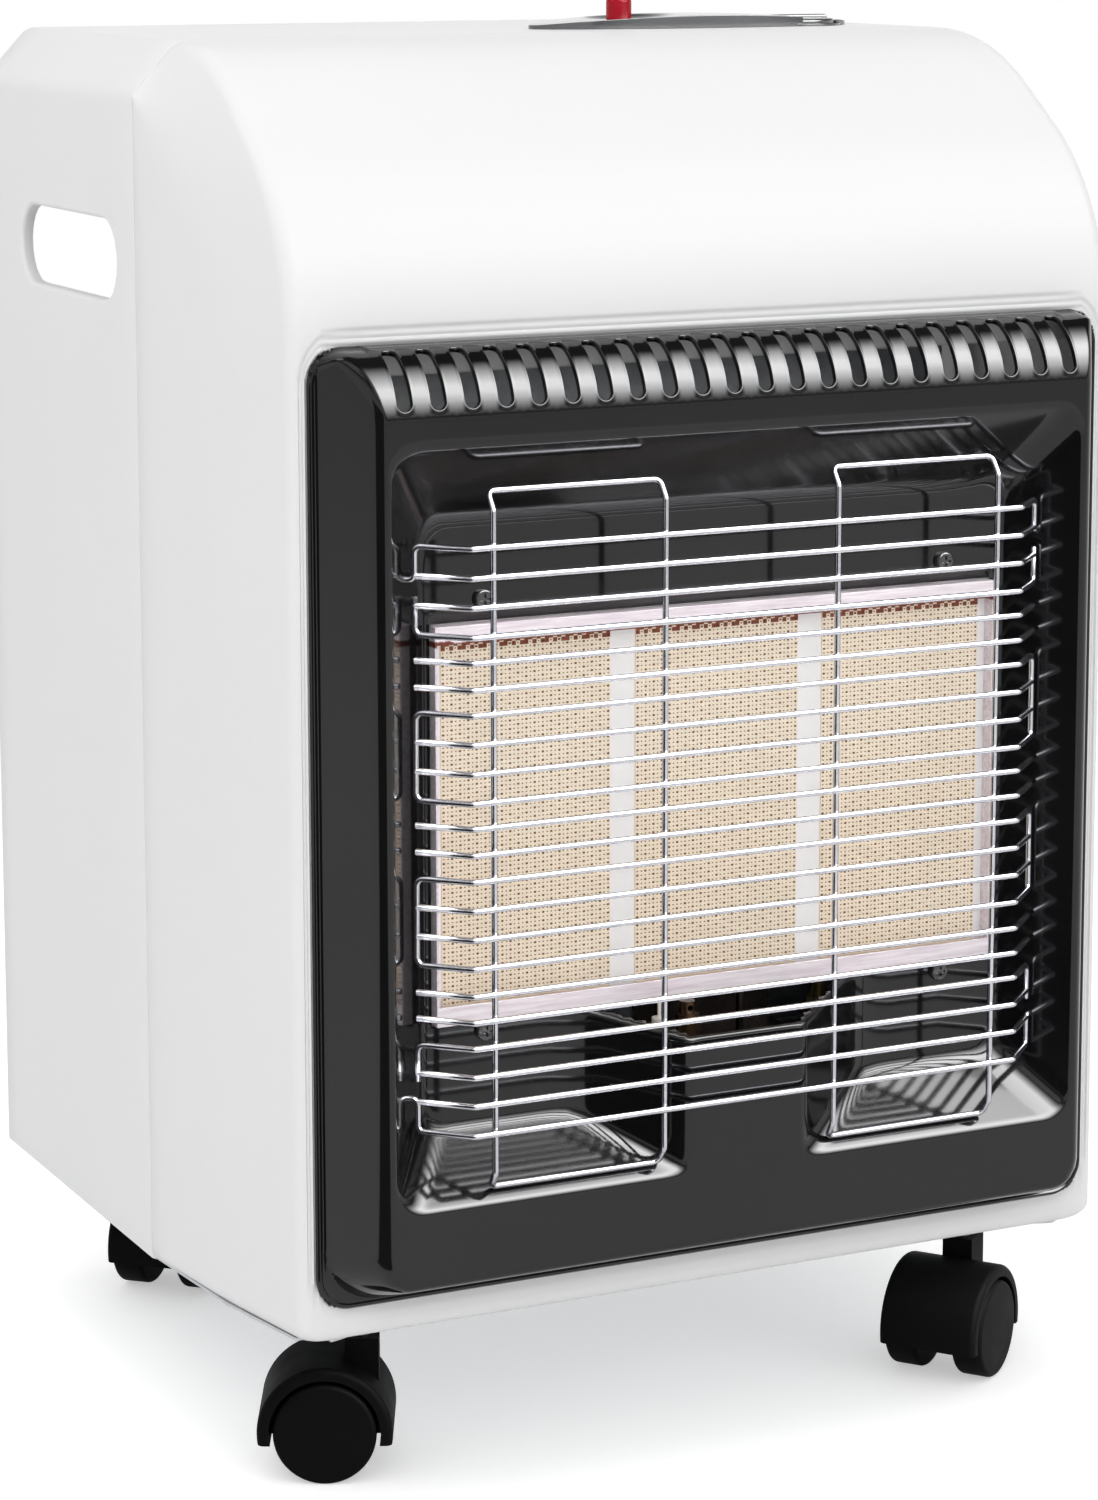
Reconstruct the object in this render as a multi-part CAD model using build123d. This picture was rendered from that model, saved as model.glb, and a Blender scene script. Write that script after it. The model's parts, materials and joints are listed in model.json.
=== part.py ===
from build123d import *
import math
import os

# Portable gas heater on casters: a two-piece steel cabinet, an enamelled front panel with a wire guard,
# three ceramic plaque burners and the gas train that feeds them. All sizes are in millimetres.
#
# Modelling frame: X to the right, Y from the cabinet's front face towards its back, Z up from the cabinet's
# underside. The finished pieces are moved so that the origin lies on the floor, under the middle of the heater.

# ------------------------------------------------------------------ cabinet
cabinet_width = 380.0
cabinet_depth = 305.0
cabinet_height = 485.5
sheet = 1.0
seam_y = 123.0                 # where the front cover meets the rear wrap
side_taper = 5.3               # how far each side draws in from the seam to its front fold
front_bevel = 8.7              # from the side's front fold in to the flat front face
shoulder_width = 19.0          # from the side in to the flat top at the seam
side_fold_y = 56.0
brow_drop = 109.5              # from the top down to where the front face starts to curve back
brow_radius = 91.0
brow_slope = 37.0              # degrees, the short slope between the two curves
top_curve_end = 118.0
shoulder_drop = 20.5           # how far the bevelled shoulder falls from the top to the side
side_brow_radius = 79.0
seam_flange = 10.0
rear_flange = 12.0
bottom_flange = 14.0
front_lip = 24.0
hand_hole_length = 114.0
hand_hole_height = 32.0
hand_hole_y = 201.0
hand_hole_drop = 86.5          # from the top down to the middle of each hole

# ------------------------------------------------------------------ front panel
panel_margin = 6.4             # white sheet left beside the panel
panel_bottom = 13.5
panel_depth = 26.0
panel_bevel = 18.0             # width of the panel's sloped sides
ridge_bottom = 25.5
ridge_drop = 24.0              # from the start of the brow down to the panel's ridge
panel_corner = 9.0
panel_rim = 7.0
ridge_face = 4.1               # flat between the sloped sides and the recess
recess_bottom = 55.5
recess_drop = 9.0              # from the ridge down to the recess
recess_corner = 12.0
recess_slope = 21.5
pan_bottom = 80.0
pan_drop = 33.0                # from the top of the recess down to the pan
tongue_front_half = 25.0
tongue_back_half = 65.0
tongue_top = 109.0
tongue_back_rise = 12.0
window_margin = 3.0
vent_margin = 3.1
vent_pitch = 13.5
vent_width = 6.4
vent_share = 0.76              # share of the curved rim that each slot covers

# ------------------------------------------------------------------ wire guard
wire_radius = 1.2
guard_gap = 4.0                # from the panel's ridge to the bars' middle line
bar_margin = 30.0              # from the recess's front edge in to the bars' bends
bar_return = 16.0
upright_inner = 37.0
upright_margin = 9.5
upright_drop = 18.0            # from the top of the recess
upright_bottom = 61.0
upright_lean = 5.0
upright_bend = 6.5
weld_depth = 0.15
hook_drop = 12.5
tab_rise = 14.0
hook_reach = 8.0
hook_clearance = 0.3
loop_heights = ((243.0, 232.0, 221.0, 210.0), (180.5, 169.5, 158.5, 147.5))
plain_heights = (294.0, 283.0, 262.5, 252.5, 200.5, 190.5, 137.0, 127.0, 106.0, 95.0)
upper_hook_height = 305.0
upper_tab_height = 272.0
lower_tab_height = 117.0
lower_hook_height = 83.5

# ------------------------------------------------------------------ burner
frame_margin = 4.7
plaque_height = 141.0
plaque_thickness = 13.0
plaque_spacing = 10.9          # between neighbouring plaques
plaque_middle = 195.0
gasket_border = 4.5
frame_bottom = 119.5
frame_top = 276.5
frame_wall = 0.8
frame_lip = 5.0
visor_height = 13.5
lower_lip_height = 7.5
panel_gap = 0.6
box_depth = 32.0
box_gap = 3.5
ear_width = 14.0
ear_height = 9.0
ear_inset = 21.3
venturi_radius = 9.0
venturi_wall = 1.0
bell_radius = 13.5
manifold_radius = 6.0
manifold_y = 62.0
manifold_z = 78.0
manifold_reach = 26.5          # beyond the outer plaques' middle lines
bracket_inset = 16.8
bracket_thickness = 1.5
shield_y = 84.0
shield_side_gap = 40.0
shield_drop = 45.5             # from the cabinet's top
shield_foot = 15.0
shield_roof = 48.0

# ------------------------------------------------------------------ pilot light
shelf_z = 104.0
shelf_left = -35.0
shelf_right = 24.0
shelf_front = -15.5
pilot_x = -18.0
electrode_x = -30.0
thermocouple_x = 5.0
pilot_y = -10.0
pilot_pipe_radius = 2.0
pilot_pipe_low = 56.0          # height of its run above the floor of the cabinet
pilot_pipe_front = 30.0        # depth of its run behind the panel
pilot_pipe_back = 121.0        # depth of its rise beside the valve
capillary_low = 66.0
capillary_front = 38.0
capillary_back = 114.0
capillary_radius = 1.0
lead_radius = 1.4
lead_x = -60.0
lead_low = 50.0
lead_drop = 70.5               # from the cabinet's top

# ------------------------------------------------------------------ controls
control_y = 176.0
control_inset = 110.7          # from the cabinet's right side to the plate's middle
plate_length = 149.0
plate_width = 46.0
plate_crown = 5.7
plate_edge = 1.6
button_offset = 33.3           # left of the plate's middle
button_radius = 5.35
button_rise = 12.1             # above the cabinet's top
button_travel = 5.0
igniter_length = 53.5
igniter_bore_depth = 15.5
knob_offset = 49.7             # right of the plate's middle
knob_radius = 18.0
knob_rise = 3.0                # above the cabinet's top
knob_thickness = 4.0
knob_travel = 3.0
spindle_radius = 3.0
running_clearance = 0.05
valve_size = 38.0
valve_drop = 27.5              # from the cabinet's top
valve_height = 38.0
spring_length = 10.0
main_pipe_radius = 4.0
main_pipe_inset = 22.0
main_pipe_back = 136.0         # depth of its run beside the bottle bay
nozzle_radius = 4.0
nozzle_length = 22.0

# ------------------------------------------------------------------ base, back and casters
base_thickness = 1.2
base_clearance = 1.3
bottle_y = 194.0
bottle_pad_radius = 92.0       # raised rest for the bottle's foot ring
bottle_pad_rise = 1.0
base_screw_inset = 40.0        # along each side flange, from the seam and from the back
front_screw_x = 70.0
stem_inset = 54.0
front_stem_y = 35.0
rear_stem_y = 258.0
stem_radius = 3.0
caster_height = 64.0
wheel_radius = 20.0
wheel_width = 13.5
wheel_gap = 16.0
caster_trail = 14.0
hood_radius = 26.3
hood_half_width = 21.0
hood_skirt = 15.5
boss_size = 13.0
boss_top = 53.5
axle_radius = 2.5
swivel_angles = {"front_left": 154.5, "front_right": 216.9, "rear_left": 47.0, "rear_right": 75.0}
door_margin = 14.0
door_bottom = 10.0
door_top = 340.0
door_return = 12.0
door_setback = 1.0
hinge_inset = 8.0
magnet_bottom = 200.0
magnet_height = 30.0
hinge_y = 298.0
hinge_pin_radius = 2.0
screw_radius = 1.9
screw_head_radius = 3.8
screw_head_height = 2.2

# ------------------------------------------------------------------ worked-out places
brow_start = cabinet_height - brow_drop
hand_hole_z = cabinet_height - hand_hole_drop
ridge_top = brow_start - ridge_drop
recess_top = ridge_top - recess_drop
pan_top = recess_top - pan_drop
upright_top = recess_top - upright_drop
shield_top = cabinet_height - shield_drop
lead_high = cabinet_height - lead_drop
button_top = cabinet_height + button_rise
igniter_bottom = cabinet_height - igniter_length
igniter_bore = cabinet_height - igniter_bore_depth
knob_top = cabinet_height + knob_rise
valve_top = cabinet_height - valve_drop
half_width = cabinet_width / 2
side_fold_half = half_width - side_taper
front_fold_half = side_fold_half - front_bevel
top_fold_half = half_width - shoulder_width
panel_half = front_fold_half - panel_margin
ridge_half = panel_half - panel_bevel
recess_half = ridge_half - ridge_face
pan_half = recess_half - recess_slope
vent_count = round(2 * (ridge_half - vent_margin) / vent_pitch)
bar_half = recess_half - bar_margin
upright_outer = bar_half - upright_margin
frame_half = pan_half - frame_margin
plaque_width = 2 * (frame_half - gasket_border - plaque_spacing) / 3
plaque_pitch = plaque_width + plaque_spacing
ear_x = frame_half - ear_inset
bracket_x = frame_half - bracket_inset
manifold_half = plaque_pitch + manifold_reach
shield_half = half_width - shield_side_gap
main_pipe_x = half_width - main_pipe_inset
control_x = half_width - control_inset
knob_x = control_x + knob_offset
button_x = control_x - button_offset
stem_x = half_width - stem_inset
door_half = half_width - door_margin
hinge_x = -(door_half - hinge_inset)
shell_back = cabinet_depth - door_setback - 0.5
ridge_y = -panel_depth
bar_y = ridge_y - guard_gap
upright_y = bar_y + 2 * wire_radius - weld_depth
plaque_half_height = plaque_height / 2
box_back = plaque_thickness + box_depth
base_bottom = sheet
base_top = sheet + base_thickness
top_inside = cabinet_height - sheet
well_radius = knob_radius + 1.0
well_floor = knob_top - knob_thickness - knob_travel - 2.0
valve_middle = valve_top - valve_height / 2
valve_front = control_y - valve_size / 2
collar_bottom = valve_top + 3.0 + spring_length
collar_height = 3.0
stem_places = {
    "front_left": (-stem_x, front_stem_y),
    "front_right": (stem_x, front_stem_y),
    "rear_left": (-stem_x, rear_stem_y),
    "rear_right": (stem_x, rear_stem_y),
}
middle_shift = -(cabinet_depth - door_setback + bar_y - wire_radius) / 2


# ------------------------------------------------------------------ helpers
def block(x0, x1, y0, y1, z0, z1):
    """A box between two corners."""
    size = Box(x1 - x0, y1 - y0, z1 - z0)
    return Pos((x0 + x1) / 2, (y0 + y1) / 2, (z0 + z1) / 2) * size


def post(x, y, z0, z1, radius):
    """An upright cylinder from height z0 to z1."""
    return Pos(x, y, (z0 + z1) / 2) * Cylinder(radius, z1 - z0)


def rod_x(x0, x1, y, z, radius):
    """A cylinder along X."""
    return Pos((x0 + x1) / 2, y, z) * Rot(0, 90, 0) * Cylinder(radius, x1 - x0)


def rod_y(x, y0, y1, z, radius):
    """A cylinder along Y."""
    return Pos(x, (y0 + y1) / 2, z) * Rot(90, 0, 0) * Cylinder(radius, y1 - y0)


def tube(points, radius, bend):
    """A round bar swept along straight runs joined by tangent bends."""
    path = FilletPolyline(*points, radius=bend)
    section = Plane(origin=path @ 0, z_dir=path % 0) * Circle(radius)
    return sweep(section, path=path)


def facing_front(y):
    """A sketch plane at depth y whose local x is X and local y is Z."""
    return Plane(origin=(0, y, 0), x_dir=(1, 0, 0), z_dir=(0, -1, 0))


def front_rectangle(half, bottom, top, y, corner):
    """A rounded rectangle standing at depth y."""
    place = Pos(0, (bottom + top) / 2)
    return facing_front(y) * place * RectangleRounded(2 * half, top - bottom, corner)


def mirrored(shape):
    """The shape and its mirror image in the cabinet's middle plane."""
    return shape + mirror(shape, about=Plane.YZ)


def group(shapes):
    """Separate solids that share one node."""
    return Compound(children=[solid for shape in shapes for solid in shape.solids()])


# ------------------------------------------------------------------ cabinet
def top_curve_radius(inset):
    """Radius of the upper curve that runs tangent from the slope into the flat top."""
    slope = math.radians(brow_slope)
    radius = brow_radius - inset
    start_y = inset + radius * (1 - math.sin(slope))
    start_z = brow_start + radius * math.cos(slope)
    rise = cabinet_height - inset - start_z
    return ((top_curve_end - start_y) * math.sin(slope) - rise * math.cos(slope)) / (1 - math.cos(slope))


def front_section(side, inset):
    """Outline of the front cover in the plane of its front fold."""
    fold_in = 0.6 * inset

    def place(y, z):
        share = y / seam_y
        x = front_fold_half - fold_in + (top_fold_half - front_fold_half) * share
        return (side * x, y, z)

    slope = math.radians(brow_slope)
    half_turn = math.radians(90 - brow_slope) / 2
    radius = brow_radius - inset
    upper = top_curve_radius(inset)
    front = inset
    top = cabinet_height - inset
    low_mid = (front + radius * (1 - math.cos(half_turn)), brow_start + radius * math.sin(half_turn))
    low_end = (front + radius * (1 - math.sin(slope)), brow_start + radius * math.cos(slope))
    high_start = (top_curve_end - upper * math.sin(slope), top - upper * (1 - math.cos(slope)))
    high_mid = (top_curve_end - upper * math.sin(slope / 2), top - upper * (1 - math.cos(slope / 2)))
    edges = [
        Line(place(seam_y, inset), place(front, inset)),
        Line(place(front, inset), place(front, brow_start)),
        ThreePointArc(place(front, brow_start), place(*low_mid), place(*low_end)),
        Line(place(*low_end), place(*high_start)),
        ThreePointArc(place(*high_start), place(*high_mid), place(top_curve_end, top)),
        Line(place(top_curve_end, top), place(seam_y, top)),
        Line(place(seam_y, top), place(seam_y, inset)),
    ]
    return Face(Wire(edges))


def side_section(side, inset):
    """Outline of the front cover in the plane of its tapered side."""
    depth = seam_y - side_fold_y

    def place(y, z):
        share = (y - side_fold_y) / depth
        x = side_fold_half - inset + (half_width - side_fold_half) * share
        return (side * x, y, z)

    slope = math.radians(brow_slope)
    half_turn = math.radians(90 - brow_slope) / 2
    radius = side_brow_radius
    top = cabinet_height - shoulder_drop - 0.4 * inset
    front = side_fold_y + 0.2 * inset
    turn_y = front + radius * (1 - math.sin(slope))
    turn_z = top - (seam_y - turn_y) * math.tan(slope)
    start_z = turn_z - radius * math.cos(slope)
    mid = (front + radius * (1 - math.cos(half_turn)), start_z + radius * math.sin(half_turn))

    def on_slope(share):
        y = turn_y + (seam_y - turn_y) * share
        return place(y, turn_z + (y - turn_y) * math.tan(slope))

    edges = [
        Line(place(seam_y, inset), place(front, inset)),
        Line(place(front, inset), place(front, start_z)),
        ThreePointArc(place(front, start_z), place(*mid), place(turn_y, turn_z)),
        Line(place(turn_y, turn_z), on_slope(0.35)),
        Line(on_slope(0.35), on_slope(0.9)),
        Line(on_slope(0.9), place(seam_y, top)),
        Line(place(seam_y, top), place(seam_y, inset)),
    ]
    return Face(Wire(edges))


def front_body(inset):
    """The front cover's outer shape, or its inside when inset by the sheet."""
    sections = [
        side_section(-1, inset),
        front_section(-1, inset),
        front_section(1, inset),
        side_section(1, inset),
    ]
    return loft(sections, ruled=True)


def wrap_outline(inset):
    """Cross-section of the rear wrap: sides, bevelled shoulders and top."""
    half = half_width - inset
    top = cabinet_height - inset
    shoulder_half = top_fold_half - 0.42 * inset
    side_top = cabinet_height - shoulder_drop - 0.4 * inset
    points = [
        (-half, inset),
        (half, inset),
        (half, side_top),
        (shoulder_half, top),
        (-shoulder_half, top),
        (-half, side_top),
        (-half, inset),
    ]
    return Polyline(*points)


def wrap_body(inset, y0, y1):
    """A length of the rear wrap's cross-section."""
    face = facing_front(y1) * make_face(wrap_outline(inset))
    return extrude(face, amount=y1 - y0)


def screw_holes():
    """Clearance holes for the base screws."""
    drills = [post(x, y, -1, base_top + 1, screw_radius + 0.2) for x, y in base_screw_places()]
    return group(drills)


def base_screw_places():
    """Where the base plate is screwed to the flanges of the cover and the wrap."""
    side_x = half_width - bottom_flange / 2 - 1
    side_places = (seam_y + base_screw_inset, shell_back - base_screw_inset)
    places = [(side * side_x, y) for side in (-1, 1) for y in side_places]
    places += [(side * front_screw_x, front_lip - bottom_flange / 2) for side in (-1, 1)]
    return places


def seam_foot_cut():
    """Room above the bottom flanges where the base plate passes the seam."""
    half = half_width - seam_flange
    return block(-half, half, seam_y - 2 * sheet, seam_y + 2 * sheet, sheet, seam_flange + 1)


def make_front_cover():
    """Front and top sheet with its window for the panel and turned-in flanges."""
    cavity = front_body(sheet) & block(-half_width, half_width, 0, seam_y - sheet, 0, cabinet_height)
    cover = front_body(0) - cavity
    cover -= wrap_body(seam_flange, seam_y - 2 * sheet, seam_y + 1)
    window_half = panel_half - panel_rim + 0.6
    window = front_rectangle(
        window_half, panel_bottom + panel_rim, ridge_top + panel_depth - 12, sheet + 1, panel_corner
    )
    cover -= extrude(window, amount=sheet + 2)
    floor_half = front_fold_half - bottom_flange
    cover -= block(-floor_half, floor_half, front_lip, seam_y + 1, -1, seam_flange + 1)
    cover -= seam_foot_cut()
    return cover - screw_holes()


def make_cabinet_shell():
    """Sides and top of the rear wrap, with hand holes and turned-in flanges."""
    shell = wrap_body(0, seam_y, shell_back) - wrap_body(sheet, seam_y + sheet, shell_back - sheet)
    shell -= wrap_body(seam_flange, seam_y - 1, seam_y + 2 * sheet)
    shell -= wrap_body(rear_flange, shell_back - 2 * sheet, shell_back + 1)
    floor_half = half_width - bottom_flange
    shell -= block(-floor_half, floor_half, seam_y - 1, shell_back + 1, -1, rear_flange + 1)
    shell -= seam_foot_cut()
    for side in (-1, 1):
        outside = (side * (half_width + 1), hand_hole_y, hand_hole_z)
        plane = Plane(origin=outside, x_dir=(0, 1, 0), z_dir=(side, 0, 0))
        slot = plane * SlotOverall(hand_hole_length, hand_hole_height)
        shell -= extrude(slot, amount=-3 * sheet)
    shell -= post(knob_x, control_y, top_inside - 5, cabinet_height + 5, well_radius + 2.0)
    shell -= post(button_x, control_y, top_inside - 5, cabinet_height + 5, button_radius + 3.4)
    return shell - screw_holes()


def make_base_plate():
    """Floor of the cabinet, resting on the bottom flanges and carrying the casters."""
    edge = base_clearance
    points = [
        (-(front_fold_half - edge), front_lip / 3),
        (-(side_fold_half - edge), side_fold_y),
        (-(half_width - edge), seam_y),
        (-(half_width - edge), shell_back - 1.5 * sheet),
        (half_width - edge, shell_back - 1.5 * sheet),
        (half_width - edge, seam_y),
        (side_fold_half - edge, side_fold_y),
        (front_fold_half - edge, front_lip / 3),
        (-(front_fold_half - edge), front_lip / 3),
    ]
    plate = Pos(0, 0, base_bottom) * extrude(make_face(Polyline(*points)), amount=base_thickness)
    plate += post(0, bottle_y, base_bottom, base_top + bottle_pad_rise, bottle_pad_radius)
    notch = seam_flange + 1
    for side in (-1, 1):
        outer = side * (half_width + 1)
        inner = side * (half_width - notch)
        plate -= block(min(outer, inner), max(outer, inner), seam_y - 1.5, seam_y + 1.5, 0, base_top + 1)
    for x, y in stem_places.values():
        plate -= post(x, y, 0, base_top + 1, stem_radius + 0.3)
    return plate - screw_holes()


# ------------------------------------------------------------------ front panel
def panel_boss(inset, y_back):
    """The raised outer form of the panel: sloped sides and a quarter-round top."""
    front = ridge_y + inset
    low = ridge_bottom + inset
    round_radius = panel_depth - inset
    side_edges = [
        Line((y_back, panel_bottom + 1.1 * inset), (front, low)),
        Line((front, low), (front, ridge_top)),
        RadiusArc((front, ridge_top), (0, ridge_top + round_radius), round_radius),
    ]
    if y_back < 0:
        meet = math.sqrt(round_radius ** 2 - y_back ** 2)
        side_edges[2] = RadiusArc((front, ridge_top), (y_back, ridge_top + meet), round_radius)
    last = side_edges[2] @ 1
    side_edges.append(Line(last, (y_back, panel_bottom + 1.1 * inset)))
    profile = Plane.YZ * make_face(Wire(side_edges))
    long_form = extrude(profile, amount=panel_half, both=True)
    bevel = (panel_half - ridge_half) / panel_depth
    edge_half = panel_half - 1.2 * inset

    def half_at(y):
        return edge_half + bevel * y

    plan_points = [
        (-half_at(y_back), y_back),
        (-half_at(front), front),
        (half_at(front), front),
        (half_at(y_back), y_back),
        (-half_at(y_back), y_back),
    ]
    plan = extrude(make_face(Polyline(*plan_points)), amount=ridge_top + panel_depth + 5)
    return long_form & plan


def recess_form(grow, y_front, y_back):
    """The tapered hollow in front of the burner, or the outside of its wall when grown."""
    near = front_rectangle(
        recess_half + grow, recess_bottom - grow, recess_top + grow, y_front, recess_corner + grow
    )
    far = front_rectangle(pan_half + grow, pan_bottom - grow, pan_top + grow, y_back, recess_corner + grow)
    return loft([near, far], ruled=True)


def tongue_form(shrink, y_front, y_back):
    """The raised tongue that divides the bottom of the recess."""
    near = front_rectangle(
        tongue_front_half - shrink, ridge_bottom + 10, tongue_top - shrink, y_front, 3.0
    )
    far = front_rectangle(
        tongue_back_half - shrink, ridge_bottom + 20, tongue_top + tongue_back_rise - shrink, y_back, 3.0
    )
    return loft([near, far], ruled=True)


def pilot_window():
    """Opening in the tongue's top, above the pilot shelf and inside the tongue's own side walls."""
    bottom = shelf_z - 4
    top = frame_bottom + 8
    front = ridge_y + sheet + 0.2
    front_half = tongue_front_half - window_margin
    back_half = tongue_back_half - window_margin
    near = facing_front(front) * Pos(0, (bottom + top) / 2) * Rectangle(2 * front_half, top - bottom)
    far = facing_front(1) * Pos(0, (bottom + top) / 2) * Rectangle(2 * back_half, top - bottom)
    return loft([near, far], ruled=True)


def hook_direction():
    """Outward normal of the recess's right side wall, in plan."""
    run = panel_depth - sheet
    rise = recess_half - pan_half
    length = math.hypot(run, rise)
    return run / length, rise / length


def hook_places():
    """Height of each hook where it passes through the side wall."""
    return upper_hook_height - hook_drop, lower_hook_height + hook_drop


def make_front_panel():
    """Enamelled pressed panel with vent slots, recess, burner opening and guard holes."""
    pan_y = -sheet
    hollow = panel_boss(sheet, pan_y)
    wall = recess_form(1.3 * sheet, ridge_y, 0) - tongue_form(1.3 * sheet, ridge_y - 0.01, 0.01)
    panel = panel_boss(0, 0) - (hollow - wall)
    void = recess_form(0, ridge_y, pan_y) - tongue_form(0, ridge_y, pan_y)
    panel -= void
    rim_half = panel_half - panel_rim
    rim_top = ridge_top + panel_depth - panel_rim
    back_gap = block(-rim_half, rim_half, pan_y, 1, panel_bottom + panel_rim, rim_top)
    back_gap -= wall
    panel -= back_gap
    opening_half = frame_half + panel_gap
    panel -= block(
        -opening_half, opening_half, -frame_lip - panel_gap, 1,
        frame_bottom - panel_gap, frame_top + panel_gap
    )
    panel -= pilot_window()
    slot_length = 2 * panel_depth * math.sin(math.radians(90 * vent_share / 2))
    slope = Plane(origin=(0, 0, ridge_top), x_dir=(1, 0, 0), z_dir=(0, -1, 1))
    slots = [
        slope * Pos((index - (vent_count - 1) / 2) * vent_pitch, 0, panel_depth - 9)
        * extrude(Rot(0, 0, 90) * SlotOverall(slot_length, vent_width), amount=14)
        for index in range(vent_count)
    ]
    for slot in slots:
        panel -= slot
    out_x, out_y = hook_direction()
    hook_x = bar_half + bar_return
    hook_y = bar_y + bar_return
    for height in hook_places():
        drill_plane = Plane(origin=(hook_x, hook_y, height), z_dir=(out_x, out_y, 0))
        panel -= mirrored(drill_plane * Cylinder(wire_radius + hook_clearance, 2 * hook_reach))
    for x, z in panel_screw_places():
        panel -= rod_y(x, -4, 2, z, screw_radius + 0.1)
    return panel


def panel_screw_places():
    """Screws that hold the burner to the back of the panel."""
    reach = ear_height / 2
    return [(side * ear_x, z) for side in (-1, 1) for z in (frame_top + reach, frame_bottom - reach)]


# ------------------------------------------------------------------ wire guard
def guard_half(height):
    """Middle line of a plain bar's right half."""
    bend_back = (bar_half + bar_return, bar_y + bar_return, height)
    return [(0, bar_y, height), (bar_half, bar_y, height), bend_back]


def make_guard_bars():
    """Cross bars with returned ends, end loops, hooks and tabs."""
    bend = 3.0
    end_x = bar_half + bar_return
    end_y = bar_y + bar_return
    halves = []
    for height in plain_heights:
        halves.append(tube(guard_half(height), wire_radius, bend))
    for heights in loop_heights:
        top, bottom = heights[0], heights[-1]
        halves.append(tube(guard_half(top) + guard_half(bottom)[::-1], wire_radius, bend))
        for height in heights[1:-1]:
            halves.append(tube(guard_half(height), wire_radius, bend))
    out_x, out_y = hook_direction()
    for height, turn in ((upper_hook_height, -1), (lower_hook_height, 1)):
        entry = height + turn * hook_drop
        points = guard_half(height)
        points.append((end_x, end_y, entry))
        points.append((end_x + out_x * hook_reach, end_y + out_y * hook_reach, entry))
        halves.append(tube(points, wire_radius, 2.5))
    for height, turn in ((upper_tab_height, 1), (lower_tab_height, -1)):
        tab_end = (end_x, end_y, height + turn * tab_rise)
        halves.append(tube(guard_half(height) + [tab_end], wire_radius, bend))
    solids = []
    for half in halves:
        solids.append(mirrored(half))
    joined = solids[0]
    for solid in solids[1:]:
        joined += solid
    return joined


def make_guard_uprights():
    """Two closed wire loops welded behind the cross bars."""
    middle = (upright_inner + upright_outer) / 2
    lean = upright_y + upright_lean
    half = tube(
        [
            (middle, lean, upright_bottom),
            (upright_outer, lean, upright_bottom),
            (upright_outer, upright_y, upright_bottom + upright_bend),
            (upright_outer, upright_y, upright_top - upright_bend),
            (upright_outer, lean, upright_top),
            (middle, lean, upright_top),
        ],
        wire_radius,
        2.8,
    )
    loop = half + mirror(half, about=Plane.YZ.offset(middle))
    return group([loop, mirror(loop, about=Plane.YZ)])


# ------------------------------------------------------------------ burner
def plaque_places():
    """Middle of each plaque, from left to right."""
    return {"left": -plaque_pitch, "centre": 0.0, "right": plaque_pitch}


def make_plaque(x):
    """One ceramic burner tile."""
    half = plaque_width / 2
    return block(
        x - half, x + half, 0, plaque_thickness,
        plaque_middle - plaque_half_height, plaque_middle + plaque_half_height
    )


def make_gasket():
    """Ceramic-fibre gasket around and between the plaques."""
    body = block(
        -frame_half + frame_wall, frame_half - frame_wall, 0.5, plaque_thickness,
        frame_bottom + frame_wall, frame_top - frame_wall,
    )
    for x in plaque_places().values():
        body -= make_plaque(x)
    return body


def make_burner_frame():
    """Bright frame that clamps the plaques, with a visor lip above and ears for its screws."""
    body = block(-frame_half, frame_half, -frame_lip, plaque_thickness, frame_bottom, frame_top)
    body -= block(
        -frame_half + frame_wall, frame_half - frame_wall, -frame_lip + frame_wall, plaque_thickness + 1,
        frame_bottom + frame_wall, frame_top - frame_wall,
    )
    body -= block(
        -frame_half + frame_wall, frame_half - frame_wall, -frame_lip - 1, 0,
        frame_bottom + lower_lip_height, frame_top - visor_height,
    )
    for x, z in panel_screw_places():
        ear = block(x - ear_width / 2, x + ear_width / 2, 0.1, 1.1, z - ear_height / 2, z + ear_height / 2)
        body += ear - rod_y(x, -1, 2, z, screw_radius + 0.1)
    return body


def make_burner_box(x):
    """Mixing chamber behind one plaque, open to the front."""
    half = (plaque_pitch - box_gap) / 2
    body = block(x - half, x + half, plaque_thickness, box_back, frame_bottom + 1, frame_top - 1)
    body -= block(
        x - half + sheet, x + half - sheet, plaque_thickness - 1, box_back - sheet,
        frame_bottom + 1 + sheet, frame_top - 1 - sheet,
    )
    return body - rod_y(x, box_back - 3, box_back + 1, frame_bottom + 38, venturi_radius - venturi_wall)


def make_venturi(x):
    """Bent mixing tube with a bell mouth above its injector."""
    bell_bottom = manifold_z + 26
    bell_top = bell_bottom + 14
    outlet_z = frame_bottom + 38
    path = [(x, manifold_y, bell_top), (x, manifold_y, outlet_z), (x, box_back, outlet_z)]
    body = tube(path, venturi_radius, 14) - tube(path, venturi_radius - venturi_wall, 14)
    middle = (bell_bottom + bell_top) / 2
    outer = Pos(x, manifold_y, middle) * Cone(bell_radius, venturi_radius, bell_top - bell_bottom)
    inner = Pos(x, manifold_y, middle) * Cone(
        bell_radius - venturi_wall, venturi_radius - venturi_wall, bell_top - bell_bottom
    )
    return body + (outer - inner)


def make_manifold():
    """Closed gas pipe that carries the three injectors."""
    return rod_x(-manifold_half, manifold_half, manifold_y, manifold_z, manifold_radius)


def make_injector(x):
    """Brass injector seated on the manifold."""
    body = extrude(Pos(x, manifold_y, manifold_z) * RegularPolygon(6.0, 6), amount=manifold_radius + 8)
    tip = Pos(x, manifold_y, manifold_z + manifold_radius + 12) * Cone(4.0, 2.0, 8)
    drilling = post(x, manifold_y, manifold_z + manifold_radius + 1, manifold_z + manifold_radius + 20, 0.7)
    return body + tip - drilling - make_manifold()


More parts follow.
